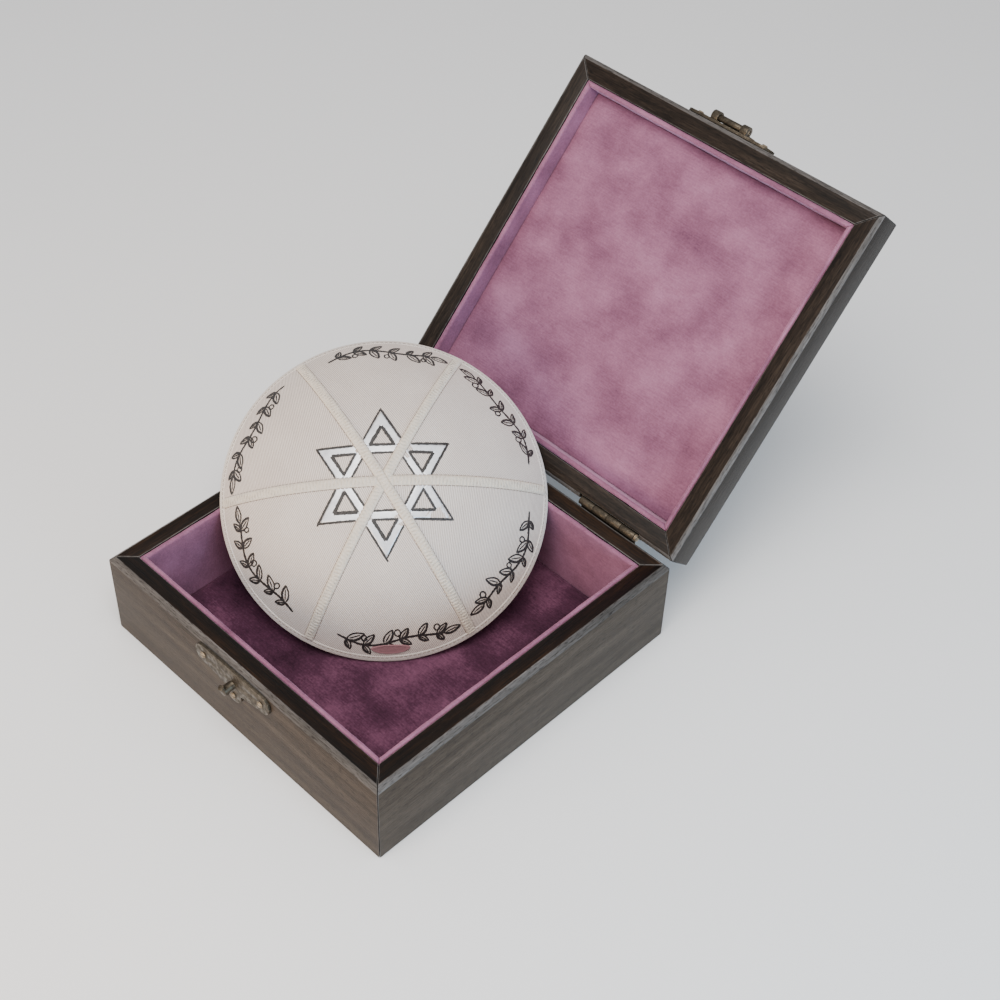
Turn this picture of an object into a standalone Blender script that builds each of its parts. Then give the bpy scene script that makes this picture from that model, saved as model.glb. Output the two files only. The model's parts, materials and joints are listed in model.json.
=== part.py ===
"""A kippah resting in its open presentation box.

Six cloth panels with taped seams and a bound edge lean on the velvet lining of a mitred wooden box,
whose lid stands open on two barrel hinges and carries the lever of the clasp.

Metres, +Z up. The origin is the centre of the box's underside and the clasp side faces -Y.
"""
import math

import bmesh
import bpy
from mathutils import Matrix, Vector

# Clearance between pieces that touch
GAP = 0.0003

# Wooden box
BOX_SIDE = 0.200
BOX_HEIGHT = 0.0525
WALL = 0.011
RIM_CHAMFER = 0.0025
FLOOR_BOARD = 0.0052

# Wooden lid, drawn closed and then swung open
LID_HEIGHT = 0.0214
LID_BOARD = 0.006
LID_RECESS = 0.010
LID_CHAMFER = 0.0018
LID_SEAT = 0.0004
LID_OPEN = math.radians(133.5)

# Velvet lining of the box and the lid
LINING = 0.0027
LIP_ROUND = 0.0011
LIP_SEGMENTS = 3
FLOOR_PAD = 0.003

# Stretch of the front edge that stays square beside the clasp
CLASP_LAND = 0.054
LAND_MARGIN = 0.003

# Kippah
KIPPAH_RADIUS = 0.085
KIPPAH_HEIGHT = 0.0426
CLOTH = 0.0012
PANELS = 6
PANEL_SAG = 0.0010
PANEL_STEPS = 10
CROWN_HOLE = 0.0012
TAPE_WIDTH = 0.005
TAPE_THICKNESS = 0.0010
TAPE_STEPS = 11
BINDING_WIDTH = 0.004
BINDING_THICKNESS = 0.0018
BINDING_STEPS = 72
LABEL_LENGTH = 0.021
LABEL_HEIGHT = 0.006
LABEL_THICKNESS = 0.0010
LABEL_FROM_EDGE = 0.0085

# How the kippah leans: its slope, the way it faces, and its own turn about the crown
KIPPAH_TILT = math.radians(33.2)
KIPPAH_YAW = math.radians(47.9)
KIPPAH_TURN = math.radians(1.3)
CROWN_SEAM = 2
LABEL_PANEL = 4

# Hinges
HINGE_FROM_END = 0.0434
HINGE_RISE = 0.0018
HINGE_BACK = 0.0003
BARREL_RADIUS = 0.0023
KNUCKLES = 4
KNUCKLE_LENGTH = 0.0094
HINGE_PIN_RADIUS = 0.0010
PIN_CAP_RADIUS = 0.0019
PIN_CAP_LENGTH = 0.0016
LEAF_THICKNESS = 0.0010
BOX_LEAF_HEIGHT = 0.017
LID_LEAF_HEIGHT = 0.012
MORTISE_CLEARANCE = 0.0006

# Clasp: a lobed plate with a hook on the box, a lobed plate with two lugs and a lever on the lid
PLATE_WIDTH = 0.055
PLATE_THICKNESS = 0.0015
PLATE_EDGE = 0.0019
CLASP_SHIFT = -0.0013
LOBE_RADIUS = 0.0062
TIP_RADIUS = 0.0060
CLASP_DROP = 0.0225
HASP_DROP = 0.0165
ARC_STEPS = 7
HOOK_RADIUS = 0.0024
HOOK_REACH = 0.0068
HOOK_RISE = 0.0036
HOOK_BELOW_RIM = 0.0125
LUG_RADIUS = 0.0030
LUG_THICKNESS = 0.0042
LEVER_BARREL_RADIUS = 0.0019
LEVER_BARREL_LENGTH = 0.0142
HASP_PIN_RADIUS = 0.0010
LEVER_THICKNESS = 0.0016
LEVER_NECK = 0.0096
LEVER_DISC_RADIUS = 0.0072
LEVER_TIP = 0.0026
SLOT_WIDTH = 0.0070
SLOT_LENGTH = 0.0092
PIVOT_ABOVE_RIM = 0.0042

# Screws
SCREW_HEAD_RADIUS = 0.0019
SCREW_HEAD_HEIGHT = 0.0008
SCREW_SHANK_RADIUS = 0.0009
SCREW_SLOT = 0.0005
HINGE_SCREW_SPREAD = 0.012

# Facets round a pin, a knuckle or a screw
ROUND_SIDES = 16
SMALL_SIDES = 10

# Colour, roughness and metallic value of each finish
FINISHES = {
    "wood": ((0.055, 0.030, 0.020), 0.45, 0.0),
    "velvet": ((0.38, 0.16, 0.27), 0.95, 0.0),
    "cloth": ((0.72, 0.64, 0.59), 0.90, 0.0),
    "tape": ((0.80, 0.74, 0.66), 0.85, 0.0),
    "label": ((0.55, 0.27, 0.30), 0.80, 0.0),
    "bronze": ((0.16, 0.13, 0.10), 0.45, 0.9),
}

# Levels and axes worked out from the sizes above
HALF = BOX_SIDE / 2
FLOOR_TOP = FLOOR_BOARD + GAP + FLOOR_PAD
LINED_HALF = HALF - WALL - GAP - LINING
LID_BASE = BOX_HEIGHT + LID_SEAT
LID_TOP = LID_BASE + LID_HEIGHT
HINGE_X = HALF - HINGE_FROM_END
HINGE_Y = HALF + HINGE_BACK
HINGE_Z = BOX_HEIGHT + HINGE_RISE
HINGE_LENGTH = KNUCKLES * KNUCKLE_LENGTH
PLATE_FACE = HALF + GAP + PLATE_THICKNESS
LOBE_X = PLATE_WIDTH / 2 - LOBE_RADIUS
PIVOT_Y = -(PLATE_FACE + GAP + LEVER_BARREL_RADIUS)
PIVOT_Z = LID_BASE + PIVOT_ABOVE_RIM
LEVER_REACH = PIVOT_Z - (BOX_HEIGHT - HOOK_BELOW_RIM)
DOME_RADIUS = (KIPPAH_RADIUS**2 + KIPPAH_HEIGHT**2) / (2 * KIPPAH_HEIGHT)
DOME_ANGLE = 2 * math.atan2(KIPPAH_HEIGHT, KIPPAH_RADIUS)
GORE = 2 * math.pi / PANELS
PANEL_END = DOME_ANGLE - (BINDING_WIDTH + GAP) / DOME_RADIUS
CLOTH_INSET = (BINDING_THICKNESS - CLOTH) / 2
TAPE_LIFT = GAP - CLOTH_INSET


def clear_scene():
    for item in list(bpy.data.objects):
        bpy.data.objects.remove(item, do_unlink=True)


def make_collection(name):
    collection = bpy.data.collections.new(name)
    bpy.context.scene.collection.children.link(collection)
    return collection


def make_material(name):
    colour, roughness, metallic = FINISHES[name]
    material = bpy.data.materials.new(name)
    material.use_nodes = True
    shader = material.node_tree.nodes["Principled BSDF"]
    shader.inputs["Base Color"].default_value = (*colour, 1.0)
    shader.inputs["Roughness"].default_value = roughness
    shader.inputs["Metallic"].default_value = metallic
    return material


def add_object(name, bm, finish, group=None):
    """Turns a bmesh into a named object of the model, in the group that it moves with."""
    mesh = bpy.data.meshes.new(name)
    bm.to_mesh(mesh)
    bm.free()
    mesh.materials.append(materials[finish])
    mesh.shade_smooth()
    mesh.set_sharp_from_angle(angle=math.radians(35))
    item = bpy.data.objects.new(name, mesh)
    parts.objects.link(item)
    if group is not None:
        group.append(item)
    return item


def add_cutter(name, bm, group=None):
    """A helper shape for a Boolean, shown as wire and left out of renders."""
    mesh = bpy.data.meshes.new(name)
    bm.to_mesh(mesh)
    bm.free()
    item = bpy.data.objects.new(name, mesh)
    cutters.objects.link(item)
    item.display_type = "WIRE"
    item.hide_render = True
    if group is not None:
        group.append(item)
    return item


def combine(item, helper, operation):
    """Adds a Boolean with one helper shape."""
    boolean = item.modifiers.new(helper.name, "BOOLEAN")
    boolean.operation = operation
    boolean.solver = "EXACT"
    boolean.object = helper


def solidify(item, thickness, offset):
    wall = item.modifiers.new("thickness", "SOLIDIFY")
    wall.thickness = thickness
    wall.offset = offset


def box_mesh(low, high):
    """A cube primitive fitted between two corners."""
    low, high = Vector(low), Vector(high)
    bm = bmesh.new()
    bmesh.ops.create_cube(bm, size=1.0)
    size = high - low
    bmesh.ops.scale(bm, vec=size, verts=bm.verts)
    bmesh.ops.translate(bm, vec=(low + high) / 2, verts=bm.verts)
    return bm


def rod_mesh(radius, start, end, sides, end_radius=None):
    """A cylinder, or a cone with its own end_radius, between two points."""
    start, end = Vector(start), Vector(end)
    along = end - start
    turn = Vector((0, 0, 1)).rotation_difference(along).to_matrix().to_4x4()
    bm = bmesh.new()
    bmesh.ops.create_cone(
        bm, cap_ends=True, segments=sides, radius1=radius,
        radius2=radius if end_radius is None else end_radius, depth=along.length,
        matrix=Matrix.Translation((start + end) / 2) @ turn,
    )
    return bm


# Mitred boards and strips

def mitred_board(length, thickness, height, eased, land=0.0):
    """One side of a mitred frame, outer face at y = 0, inner face at y = thickness, foot at z = 0.

    eased lists the long edges that are cut back, as (y share, z share, width, segments).
    A land leaves the middle of the cut edges square over that length.
    """
    mitre_clearance = GAP / math.sqrt(2)
    bm = bmesh.new()
    bmesh.ops.create_cube(bm, size=1.0)
    for vert in bm.verts:
        depth = (vert.co.y + 0.5) * thickness
        reach = length / 2 - depth - mitre_clearance
        vert.co = (math.copysign(reach, vert.co.x), depth, (vert.co.z + 0.5) * height)
    if land:
        for x in (-land / 2, land / 2):
            everything = bm.verts[:] + bm.edges[:] + bm.faces[:]
            bmesh.ops.bisect_plane(bm, geom=everything, plane_co=(x, 0, 0), plane_no=(1, 0, 0))
    close = GAP / 10
    for y_share, z_share, width, segments in eased:
        y, z = y_share * thickness, z_share * height
        edges = [
            edge for edge in bm.edges
            if all(abs(v.co.y - y) < close and abs(v.co.z - z) < close for v in edge.verts)
            and (not land or min(abs(v.co.x) for v in edge.verts) > land / 2 - close)
        ]
        bmesh.ops.bevel(
            bm, geom=edges, offset=width, segments=segments, profile=0.5, affect="EDGES",
            clamp_overlap=True,
        )
    return bm


SIDES = (("front", 0), ("right", 1), ("back", 2), ("left", 3))


def frame_of_boards(prefix, finish, side, thickness, height, foot, eased, group=None, land=0.0):
    """Four mitred boards round a square opening, named after the side that they stand on."""
    boards = {}
    for name, quarter in SIDES:
        here = land if name == "front" else 0.0
        bm = mitred_board(side, thickness, height, eased, here)
        turn = Matrix.Rotation(quarter * math.pi / 2, 4, "Z")
        place = turn @ Matrix.Translation((0, -side / 2, foot))
        boards[name] = add_object(prefix + name, bm, finish, group)
        boards[name].matrix_world = place
    return boards


def square_board(name, finish, half, low, high, group=None):
    return add_object(name, box_mesh((-half, -half, low), (half, half, high)), finish, group)


def build_box():
    """Walls with a chamfered rim, a board between them, and the velvet lining."""
    rim = [(0, 1, RIM_CHAMFER, 1)]
    land = CLASP_LAND + 2 * LAND_MARGIN
    walls = frame_of_boards("wall_", "wood", BOX_SIDE, WALL, BOX_HEIGHT, 0, rim, land=land)
    square_board("floor_board", "wood", HALF - WALL - GAP, 0, FLOOR_BOARD)
    lining_foot = FLOOR_BOARD + GAP
    lip = [(0, 1, LIP_ROUND, LIP_SEGMENTS), (1, 1, LIP_ROUND, LIP_SEGMENTS)]
    frame_of_boards(
        "lining_", "velvet", BOX_SIDE - 2 * (WALL + GAP), LINING, BOX_HEIGHT - lining_foot,
        lining_foot, lip,
    )
    square_board("floor_pad", "velvet", LINED_HALF - GAP, lining_foot, FLOOR_TOP)
    return walls


def build_lid():
    """The same joinery turned over: rails, a board let in between them, and the velvet recess."""
    edges = [(0, 0, LID_CHAMFER, 1), (0, 1, LID_CHAMFER, 1)]
    land = CLASP_LAND + 2 * LAND_MARGIN
    rails = frame_of_boards(
        "rail_", "wood", BOX_SIDE, WALL, LID_HEIGHT, LID_BASE, edges, lid_group, land,
    )
    board_foot = LID_TOP - LID_BOARD
    square_board("lid_board", "wood", HALF - WALL - GAP, board_foot, LID_TOP, lid_group)
    lip = [(0, 0, LIP_ROUND, LIP_SEGMENTS), (1, 0, LIP_ROUND, LIP_SEGMENTS)]
    frame_of_boards(
        "lid_lining_", "velvet", BOX_SIDE - 2 * (WALL + GAP), LINING,
        board_foot - GAP - LID_BASE, LID_BASE, lip, lid_group,
    )
    square_board(
        "lid_pad", "velvet", LINED_HALF - GAP, LID_BASE + LID_RECESS, board_foot - GAP, lid_group,
    )
    return rails


# Screws and hinges

def cut_screw_seat(item, name, at, out, group):
    """The hole that a screw's shank passes through."""
    reach = Vector(out) * (PLATE_THICKNESS + LEAF_THICKNESS)
    bm = rod_mesh(SCREW_SHANK_RADIUS + GAP, Vector(at) - reach, Vector(at) + reach, SMALL_SIDES)
    combine(item, add_cutter(name + "_hole", bm, group), "DIFFERENCE")


def add_screw(name, at, out, depth, group=None):
    """A cheese-head screw: its head lies on the plate at the point, its shank fills the plate."""
    at, out = Vector(at), Vector(out)
    seat = at + out * GAP
    top = seat + out * SCREW_HEAD_HEIGHT
    head = rod_mesh(SCREW_HEAD_RADIUS, seat, top, ROUND_SIDES, SCREW_HEAD_RADIUS * 0.7)
    screw = add_object(name, head, "bronze", group)
    middle = (seat + top) / 2
    shank = rod_mesh(SCREW_SHANK_RADIUS, at - out * depth, middle, SMALL_SIDES)
    combine(screw, add_cutter(name + "_shank", shank, group), "UNION")
    reach = Vector((SCREW_HEAD_RADIUS, SCREW_HEAD_RADIUS, SCREW_SLOT / 2))
    slot = box_mesh(top - reach, top + reach)
    combine(screw, add_cutter(name + "_slot", slot, group), "DIFFERENCE")
    return screw


def hinge_leaf(name, middle_x, upward, first, plate_height, group):
    """A leaf with every second knuckle, running down the box or up the lid from the barrel."""
    clear = BARREL_RADIUS + 2 * GAP
    start_x = middle_x - HINGE_LENGTH / 2
    low_y, high_y = HALF + GAP, HALF + GAP + LEAF_THICKNESS
    near, far = HINGE_Z + upward * clear, HINGE_Z + upward * (clear + plate_height)
    plate = box_mesh(
        (start_x + GAP, low_y, min(near, far)),
        (start_x + HINGE_LENGTH - GAP, high_y, max(near, far)),
    )
    leaf = add_object(name, plate, "bronze", group)
    for number in range(first, KNUCKLES, 2):
        left = start_x + number * KNUCKLE_LENGTH + GAP / 2
        right = left + KNUCKLE_LENGTH - GAP
        inside = near + upward * GAP
        neck = box_mesh(
            (left, low_y, min(HINGE_Z, inside)), (right, high_y, max(HINGE_Z, inside)),
        )
        knuckle = rod_mesh(
            BARREL_RADIUS, (left, HINGE_Y, HINGE_Z), (right, HINGE_Y, HINGE_Z), ROUND_SIDES,
        )
        label = "%s_%d" % (name, number)
        combine(leaf, add_cutter(label + "_neck", neck, group), "UNION")
        combine(leaf, add_cutter(label + "_knuckle", knuckle, group), "UNION")
    bore = rod_mesh(
        HINGE_PIN_RADIUS + GAP, (start_x - WALL, HINGE_Y, HINGE_Z),
        (start_x + HINGE_LENGTH + WALL, HINGE_Y, HINGE_Z), ROUND_SIDES,
    )
    combine(leaf, add_cutter(name + "_bore", bore, group), "DIFFERENCE")
    for number, side in enumerate((-1, 1)):
        screw = "%s_screw_%d" % (name, number + 1)
        at = (middle_x + side * HINGE_SCREW_SPREAD, high_y, (near + far) / 2)
        cut_screw_seat(leaf, screw, at, (0, 1, 0), group)
        add_screw(screw, at, (0, 1, 0), LEAF_THICKNESS, group)


def build_hinge(name, middle_x, wall, rail):
    """A barrel hinge: two leaves, a capped pin, and the mortise that both boards have for it."""
    start, end = middle_x - HINGE_LENGTH / 2, middle_x + HINGE_LENGTH / 2
    hinge_leaf(name + "_box_leaf", middle_x, -1, 0, BOX_LEAF_HEIGHT, None)
    hinge_leaf(name + "_lid_leaf", middle_x, 1, 1, LID_LEAF_HEIGHT, lid_group)
    pin = add_object(
        name + "_pin",
        rod_mesh(HINGE_PIN_RADIUS, (start, HINGE_Y, HINGE_Z), (end + GAP, HINGE_Y, HINGE_Z), ROUND_SIDES),
        "bronze",
    )
    cap = rod_mesh(
        PIN_CAP_RADIUS, (end + GAP / 2, HINGE_Y, HINGE_Z),
        (end + PIN_CAP_LENGTH, HINGE_Y, HINGE_Z), ROUND_SIDES,
    )
    combine(pin, add_cutter(name + "_pin_cap", cap), "UNION")
    spare = PIN_CAP_LENGTH + GAP
    for board, group in ((wall, None), (rail, lid_group)):
        mortise = rod_mesh(
            BARREL_RADIUS + MORTISE_CLEARANCE, (start - spare, HINGE_Y, HINGE_Z),
            (end + spare, HINGE_Y, HINGE_Z), ROUND_SIDES,
        )
        combine(board, add_cutter("%s_mortise_in_%s" % (name, board.name), mortise, group), "DIFFERENCE")


# Clasp

def arc(centre, radius, start, end, steps):
    """Points on a circle from one angle to another, in degrees."""
    points = []
    for step in range(steps + 1):
        angle = math.radians(start + (end - start) * step / steps)
        points.append((centre[0] + radius * math.cos(angle), centre[1] + radius * math.sin(angle)))
    return points


def lobed_outline(drop):
    """A straight edge with a round lobe at each end and a third lobe that hangs down at the middle."""
    lobe = arc((LOBE_X, -LOBE_RADIUS), LOBE_RADIUS, 90, -110, ARC_STEPS)
    tip = arc((0, TIP_RADIUS - drop), TIP_RADIUS, 15, -90, ARC_STEPS)
    half = lobe + tip
    return half + [(-x, y) for x, y in reversed(half[:-1])]


def flat_plate(outline, thickness):
    """A flat outline as a filled curve, made a mesh that stands in XZ with its middle at y = 0."""
    curve = bpy.data.curves.new("outline", "CURVE")
    curve.dimensions = "2D"
    curve.fill_mode = "BOTH"
    curve.extrude = thickness / 2
    spline = curve.splines.new("POLY")
    spline.points.add(len(outline) - 1)
    for point, (x, y) in zip(spline.points, outline):
        point.co = (x, y, 0, 1)
    spline.use_cyclic_u = True
    return mesh_of_curve(curve, Matrix.Rotation(math.pi / 2, 4, "X"))


def mesh_of_curve(curve, turn):
    """Evaluates a curve, welds its caps, and returns it as a bmesh."""
    holder = bpy.data.objects.new("curve", curve)
    bpy.context.scene.collection.objects.link(holder)
    graph = bpy.context.evaluated_depsgraph_get()
    mesh = bpy.data.meshes.new_from_object(holder.evaluated_get(graph))
    bm = bmesh.new()
    bm.from_mesh(mesh)
    bmesh.ops.remove_doubles(bm, verts=bm.verts, dist=GAP / 100)
    bmesh.ops.transform(bm, matrix=turn, verts=bm.verts)
    bmesh.ops.recalc_face_normals(bm, faces=bm.faces)
    bpy.data.objects.remove(holder, do_unlink=True)
    bpy.data.meshes.remove(mesh)
    return bm


def add_plate_screws(plate, name, places, group):
    """Screws through a plate on the front face, at x and z from the plate's middle and rim level."""
    for number, (x, z) in enumerate(places):
        screw = "%s_screw_%d" % (name, number + 1)
        at = (CLASP_SHIFT + x, -PLATE_FACE, z)
        cut_screw_seat(plate, screw, at, (0, -1, 0), group)
        add_screw(screw, at, (0, -1, 0), PLATE_THICKNESS, group)


def build_clasp_plate():
    """The box's plate with the hook that the lever snaps over."""
    bm = flat_plate(lobed_outline(CLASP_DROP), PLATE_THICKNESS)
    edge_z = BOX_HEIGHT - PLATE_EDGE
    middle = Vector((CLASP_SHIFT, -PLATE_FACE + PLATE_THICKNESS / 2, edge_z))
    bmesh.ops.translate(bm, vec=middle, verts=bm.verts)
    plate = add_object("clasp_plate", bm, "bronze")
    root = Vector((CLASP_SHIFT, middle.y, BOX_HEIGHT - HOOK_BELOW_RIM))
    elbow = root + Vector((0, -HOOK_REACH, 0))
    post = rod_mesh(HOOK_RADIUS, root, elbow, ROUND_SIDES)
    inside = elbow + Vector((0, HOOK_RADIUS, -HOOK_RADIUS * 0.6))
    beak = elbow + Vector((0, -HOOK_RADIUS * 0.3, HOOK_RISE))
    beak_mesh = rod_mesh(HOOK_RADIUS * 0.9, inside, beak, ROUND_SIDES, HOOK_RADIUS * 0.6)
    combine(plate, add_cutter("clasp_hook_post", post), "UNION")
    combine(plate, add_cutter("clasp_hook_beak", beak_mesh), "UNION")
    places = [
        (-LOBE_X, edge_z - LOBE_RADIUS),
        (LOBE_X, edge_z - LOBE_RADIUS),
        (0, edge_z - CLASP_DROP + TIP_RADIUS * 0.7),
    ]
    add_plate_screws(plate, "clasp", places, None)


def build_hasp_plate():
    """The lid's plate with two lugs that carry the lever's pin."""
    outline = [(x, -y) for x, y in lobed_outline(HASP_DROP)]
    bm = flat_plate(outline, PLATE_THICKNESS)
    edge_z = LID_BASE + PLATE_EDGE
    middle = Vector((CLASP_SHIFT, -PLATE_FACE + PLATE_THICKNESS / 2, edge_z))
    bmesh.ops.translate(bm, vec=middle, verts=bm.verts)
    plate = add_object("hasp_plate", bm, "bronze", lid_group)
    inner = LEVER_BARREL_LENGTH / 2 + GAP
    outer = inner + LUG_THICKNESS
    for number, side in enumerate((-1, 1)):
        ends = sorted((CLASP_SHIFT + side * inner, CLASP_SHIFT + side * outer))
        name = "hasp_lug_%d" % (number + 1)
        ear = rod_mesh(LUG_RADIUS, (ends[0], PIVOT_Y, PIVOT_Z), (ends[1], PIVOT_Y, PIVOT_Z), ROUND_SIDES)
        foot = box_mesh(
            (ends[0] + GAP, PIVOT_Y, edge_z + GAP),
            (ends[1] - GAP, middle.y, PIVOT_Z + LUG_RADIUS * 0.7),
        )
        combine(plate, add_cutter(name + "_foot", foot, lid_group), "UNION")
        combine(plate, add_cutter(name + "_ear", ear, lid_group), "UNION")
    reach = outer + LUG_THICKNESS
    bore = rod_mesh(
        HASP_PIN_RADIUS + GAP, (CLASP_SHIFT - reach, PIVOT_Y, PIVOT_Z),
        (CLASP_SHIFT + reach, PIVOT_Y, PIVOT_Z), ROUND_SIDES,
    )
    combine(plate, add_cutter("hasp_lug_bore", bore, lid_group), "DIFFERENCE")
    rod_end = outer - GAP
    add_object(
        "hasp_pin",
        rod_mesh(
            HASP_PIN_RADIUS, (CLASP_SHIFT - rod_end, PIVOT_Y, PIVOT_Z),
            (CLASP_SHIFT + rod_end, PIVOT_Y, PIVOT_Z), ROUND_SIDES,
        ),
        "bronze", lid_group,
    )
    places = [(-LOBE_X, edge_z + LOBE_RADIUS), (LOBE_X, edge_z + LOBE_RADIUS)]
    add_plate_screws(plate, "hasp", places, lid_group)


def lever_outline():
    """The lever's flat: a neck from the barrel, a disc round the slot, and a small finger tip."""
    neck = LEVER_NECK / 2
    meet = math.degrees(math.asin(neck / LEVER_DISC_RADIUS))
    disc = arc((0, LEVER_REACH), LEVER_DISC_RADIUS, meet - 90, 75, ARC_STEPS)
    tip_y = LEVER_REACH + LEVER_DISC_RADIUS
    half = [(neck, 0)] + disc + [(LEVER_TIP / 2, tip_y + LEVER_TIP)]
    return half + [(-x, y) for x, y in reversed(half)]


def build_lever():
    """The hasp lever, drawn folded back against the lid's front."""
    bm = flat_plate(lever_outline(), LEVER_THICKNESS)
    flat_y = PIVOT_Y + LEVER_BARREL_RADIUS - LEVER_THICKNESS / 2
    bmesh.ops.translate(bm, vec=(CLASP_SHIFT, flat_y, PIVOT_Z), verts=bm.verts)
    lever = add_object("hasp_lever", bm, "bronze", lever_group)
    half = LEVER_BARREL_LENGTH / 2
    barrel = rod_mesh(
        LEVER_BARREL_RADIUS, (CLASP_SHIFT - half, PIVOT_Y, PIVOT_Z),
        (CLASP_SHIFT + half, PIVOT_Y, PIVOT_Z), ROUND_SIDES,
    )
    combine(lever, add_cutter("lever_barrel", barrel, lever_group), "UNION")
    bore = rod_mesh(
        HASP_PIN_RADIUS + GAP, (CLASP_SHIFT - 2 * half, PIVOT_Y, PIVOT_Z),
        (CLASP_SHIFT + 2 * half, PIVOT_Y, PIVOT_Z), ROUND_SIDES,
    )
    combine(lever, add_cutter("lever_bore", bore, lever_group), "DIFFERENCE")
    reach = Vector((SLOT_WIDTH / 2, LEVER_BARREL_LENGTH / 2, SLOT_LENGTH / 2))
    centre = Vector((CLASP_SHIFT, flat_y, PIVOT_Z + LEVER_REACH))
    slot = box_mesh(centre - reach, centre + reach)
    combine(lever, add_cutter("lever_slot", slot, lever_group), "DIFFERENCE")


# Kippah

def dome_point(slope, azimuth, lift):
    """A point over the dome: slope from the crown, azimuth about it, lift off its outer surface."""
    radius = DOME_RADIUS + lift
    across = radius * math.sin(slope)
    up = radius * math.cos(slope) + KIPPAH_HEIGHT - DOME_RADIUS
    return Vector((across * math.cos(azimuth), across * math.sin(azimuth), up))


def seam_point(along, beside, azimuth, lift):
    """A point by its distance along a seam from the crown and its distance beside that seam."""
    ahead = Vector((math.cos(azimuth), math.sin(azimuth), 0))
    left = Vector((-math.sin(azimuth), math.cos(azimuth), 0))
    slope, lean = along / DOME_RADIUS, beside / DOME_RADIUS
    way = (ahead * math.sin(slope) + Vector((0, 0, 1)) * math.cos(slope)) * math.cos(lean)
    way += left * math.sin(lean)
    return way * (DOME_RADIUS + lift) + Vector((0, 0, KIPPAH_HEIGHT - DOME_RADIUS))


def grid_mesh(columns, rows, place):
    """A grid primitive bent to shape: place gives the point for two shares, -1 to 1 and 0 to 1."""
    bm = bmesh.new()
    bmesh.ops.create_grid(bm, x_segments=columns, y_segments=rows, size=0.5)
    for vert in bm.verts:
        vert.co = place(2 * vert.co.x, vert.co.y + 0.5)
    bmesh.ops.recalc_face_normals(bm, faces=bm.faces)
    if sum((face.normal.z for face in bm.faces)) < 0:
        bmesh.ops.reverse_faces(bm, faces=bm.faces)
    return bm


def panel_mesh(middle):
    """One gore: its sides run beside the seams, and it sags a little between them."""
    start = CROWN_HOLE / DOME_RADIUS

    def place(across, share):
        slope = start + (PANEL_END - start) * share
        side_clearance = math.asin(GAP / 2 / (DOME_RADIUS * math.sin(slope)))
        azimuth = middle + across * (GORE / 2 - side_clearance)
        sag = PANEL_SAG * (1 - across**2) * math.sin(math.pi * share)
        return dome_point(slope, azimuth, -CLOTH_INSET - sag)

    return grid_mesh(PANEL_STEPS, PANEL_STEPS, place)


def half_tape_mesh(azimuth, crown_side):
    """A tape from the edge to the crown, pointed where it meets its neighbours.

    crown_side is 1 or -1: the side on which the unbroken crown tape passes.
    """
    half = TAPE_WIDTH / 2
    end = PANEL_END * DOME_RADIUS

    def place(across, share):
        beside = across * half
        towards = beside * crown_side
        by_crown = (half + GAP + towards * math.cos(GORE)) / math.sin(GORE)
        by_neighbour = (GAP / 2 / math.cos(GORE / 2) - towards) / math.tan(GORE / 2)
        start = max(by_crown, by_neighbour)
        return seam_point(start + (end - start) * share, beside, azimuth, TAPE_LIFT)

    return grid_mesh(4, TAPE_STEPS, place)


def crown_tape_mesh(azimuth):
    """The tape that runs from edge to edge over the crown."""
    end = PANEL_END * DOME_RADIUS

    def place(across, share):
        return seam_point((2 * share - 1) * end, across * TAPE_WIDTH / 2, azimuth, TAPE_LIFT)

    return grid_mesh(4, 2 * TAPE_STEPS, place)


def binding_profile():
    """The hem's section in the XZ plane, from its outer top round to its inner top."""
    top = DOME_ANGLE - BINDING_WIDTH / DOME_RADIUS
    return [
        dome_point(top, 0, 0),
        dome_point(DOME_ANGLE, 0, 0),
        dome_point(DOME_ANGLE, 0, -BINDING_THICKNESS),
        dome_point(top, 0, -BINDING_THICKNESS),
    ]


def build_binding():
    bm = bmesh.new()
    verts = [bm.verts.new(point) for point in binding_profile()]
    for number, vert in enumerate(verts):
        bm.edges.new((vert, verts[(number + 1) % len(verts)]))
    binding = add_object("edge_binding", bm, "cloth", kippah_group)
    turn = binding.modifiers.new("turned", "SCREW")
    turn.axis = "Z"
    turn.angle = 2 * math.pi
    turn.steps = BINDING_STEPS
    turn.render_steps = BINDING_STEPS
    turn.use_merge_vertices = True
    turn.merge_threshold = GAP / 10


def build_label():
    """The oval label just above the binding, in the middle of one panel."""
    azimuth = KIPPAH_TURN + (LABEL_PANEL + 0.5) * GORE
    along = DOME_RADIUS * DOME_ANGLE - LABEL_FROM_EDGE
    bm = bmesh.new()
    bmesh.ops.create_circle(bm, cap_ends=True, cap_tris=True, segments=24, radius=0.5)
    for vert in bm.verts:
        vert.co = seam_point(
            along + vert.co.y * LABEL_HEIGHT, vert.co.x * LABEL_LENGTH, azimuth, TAPE_LIFT,
        )
    bmesh.ops.recalc_face_normals(bm, faces=bm.faces)
    if sum((face.normal.z for face in bm.faces)) < 0:
        bmesh.ops.reverse_faces(bm, faces=bm.faces)
    solidify(add_object("edge_label", bm, "label", kippah_group), LABEL_THICKNESS, 1)


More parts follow.
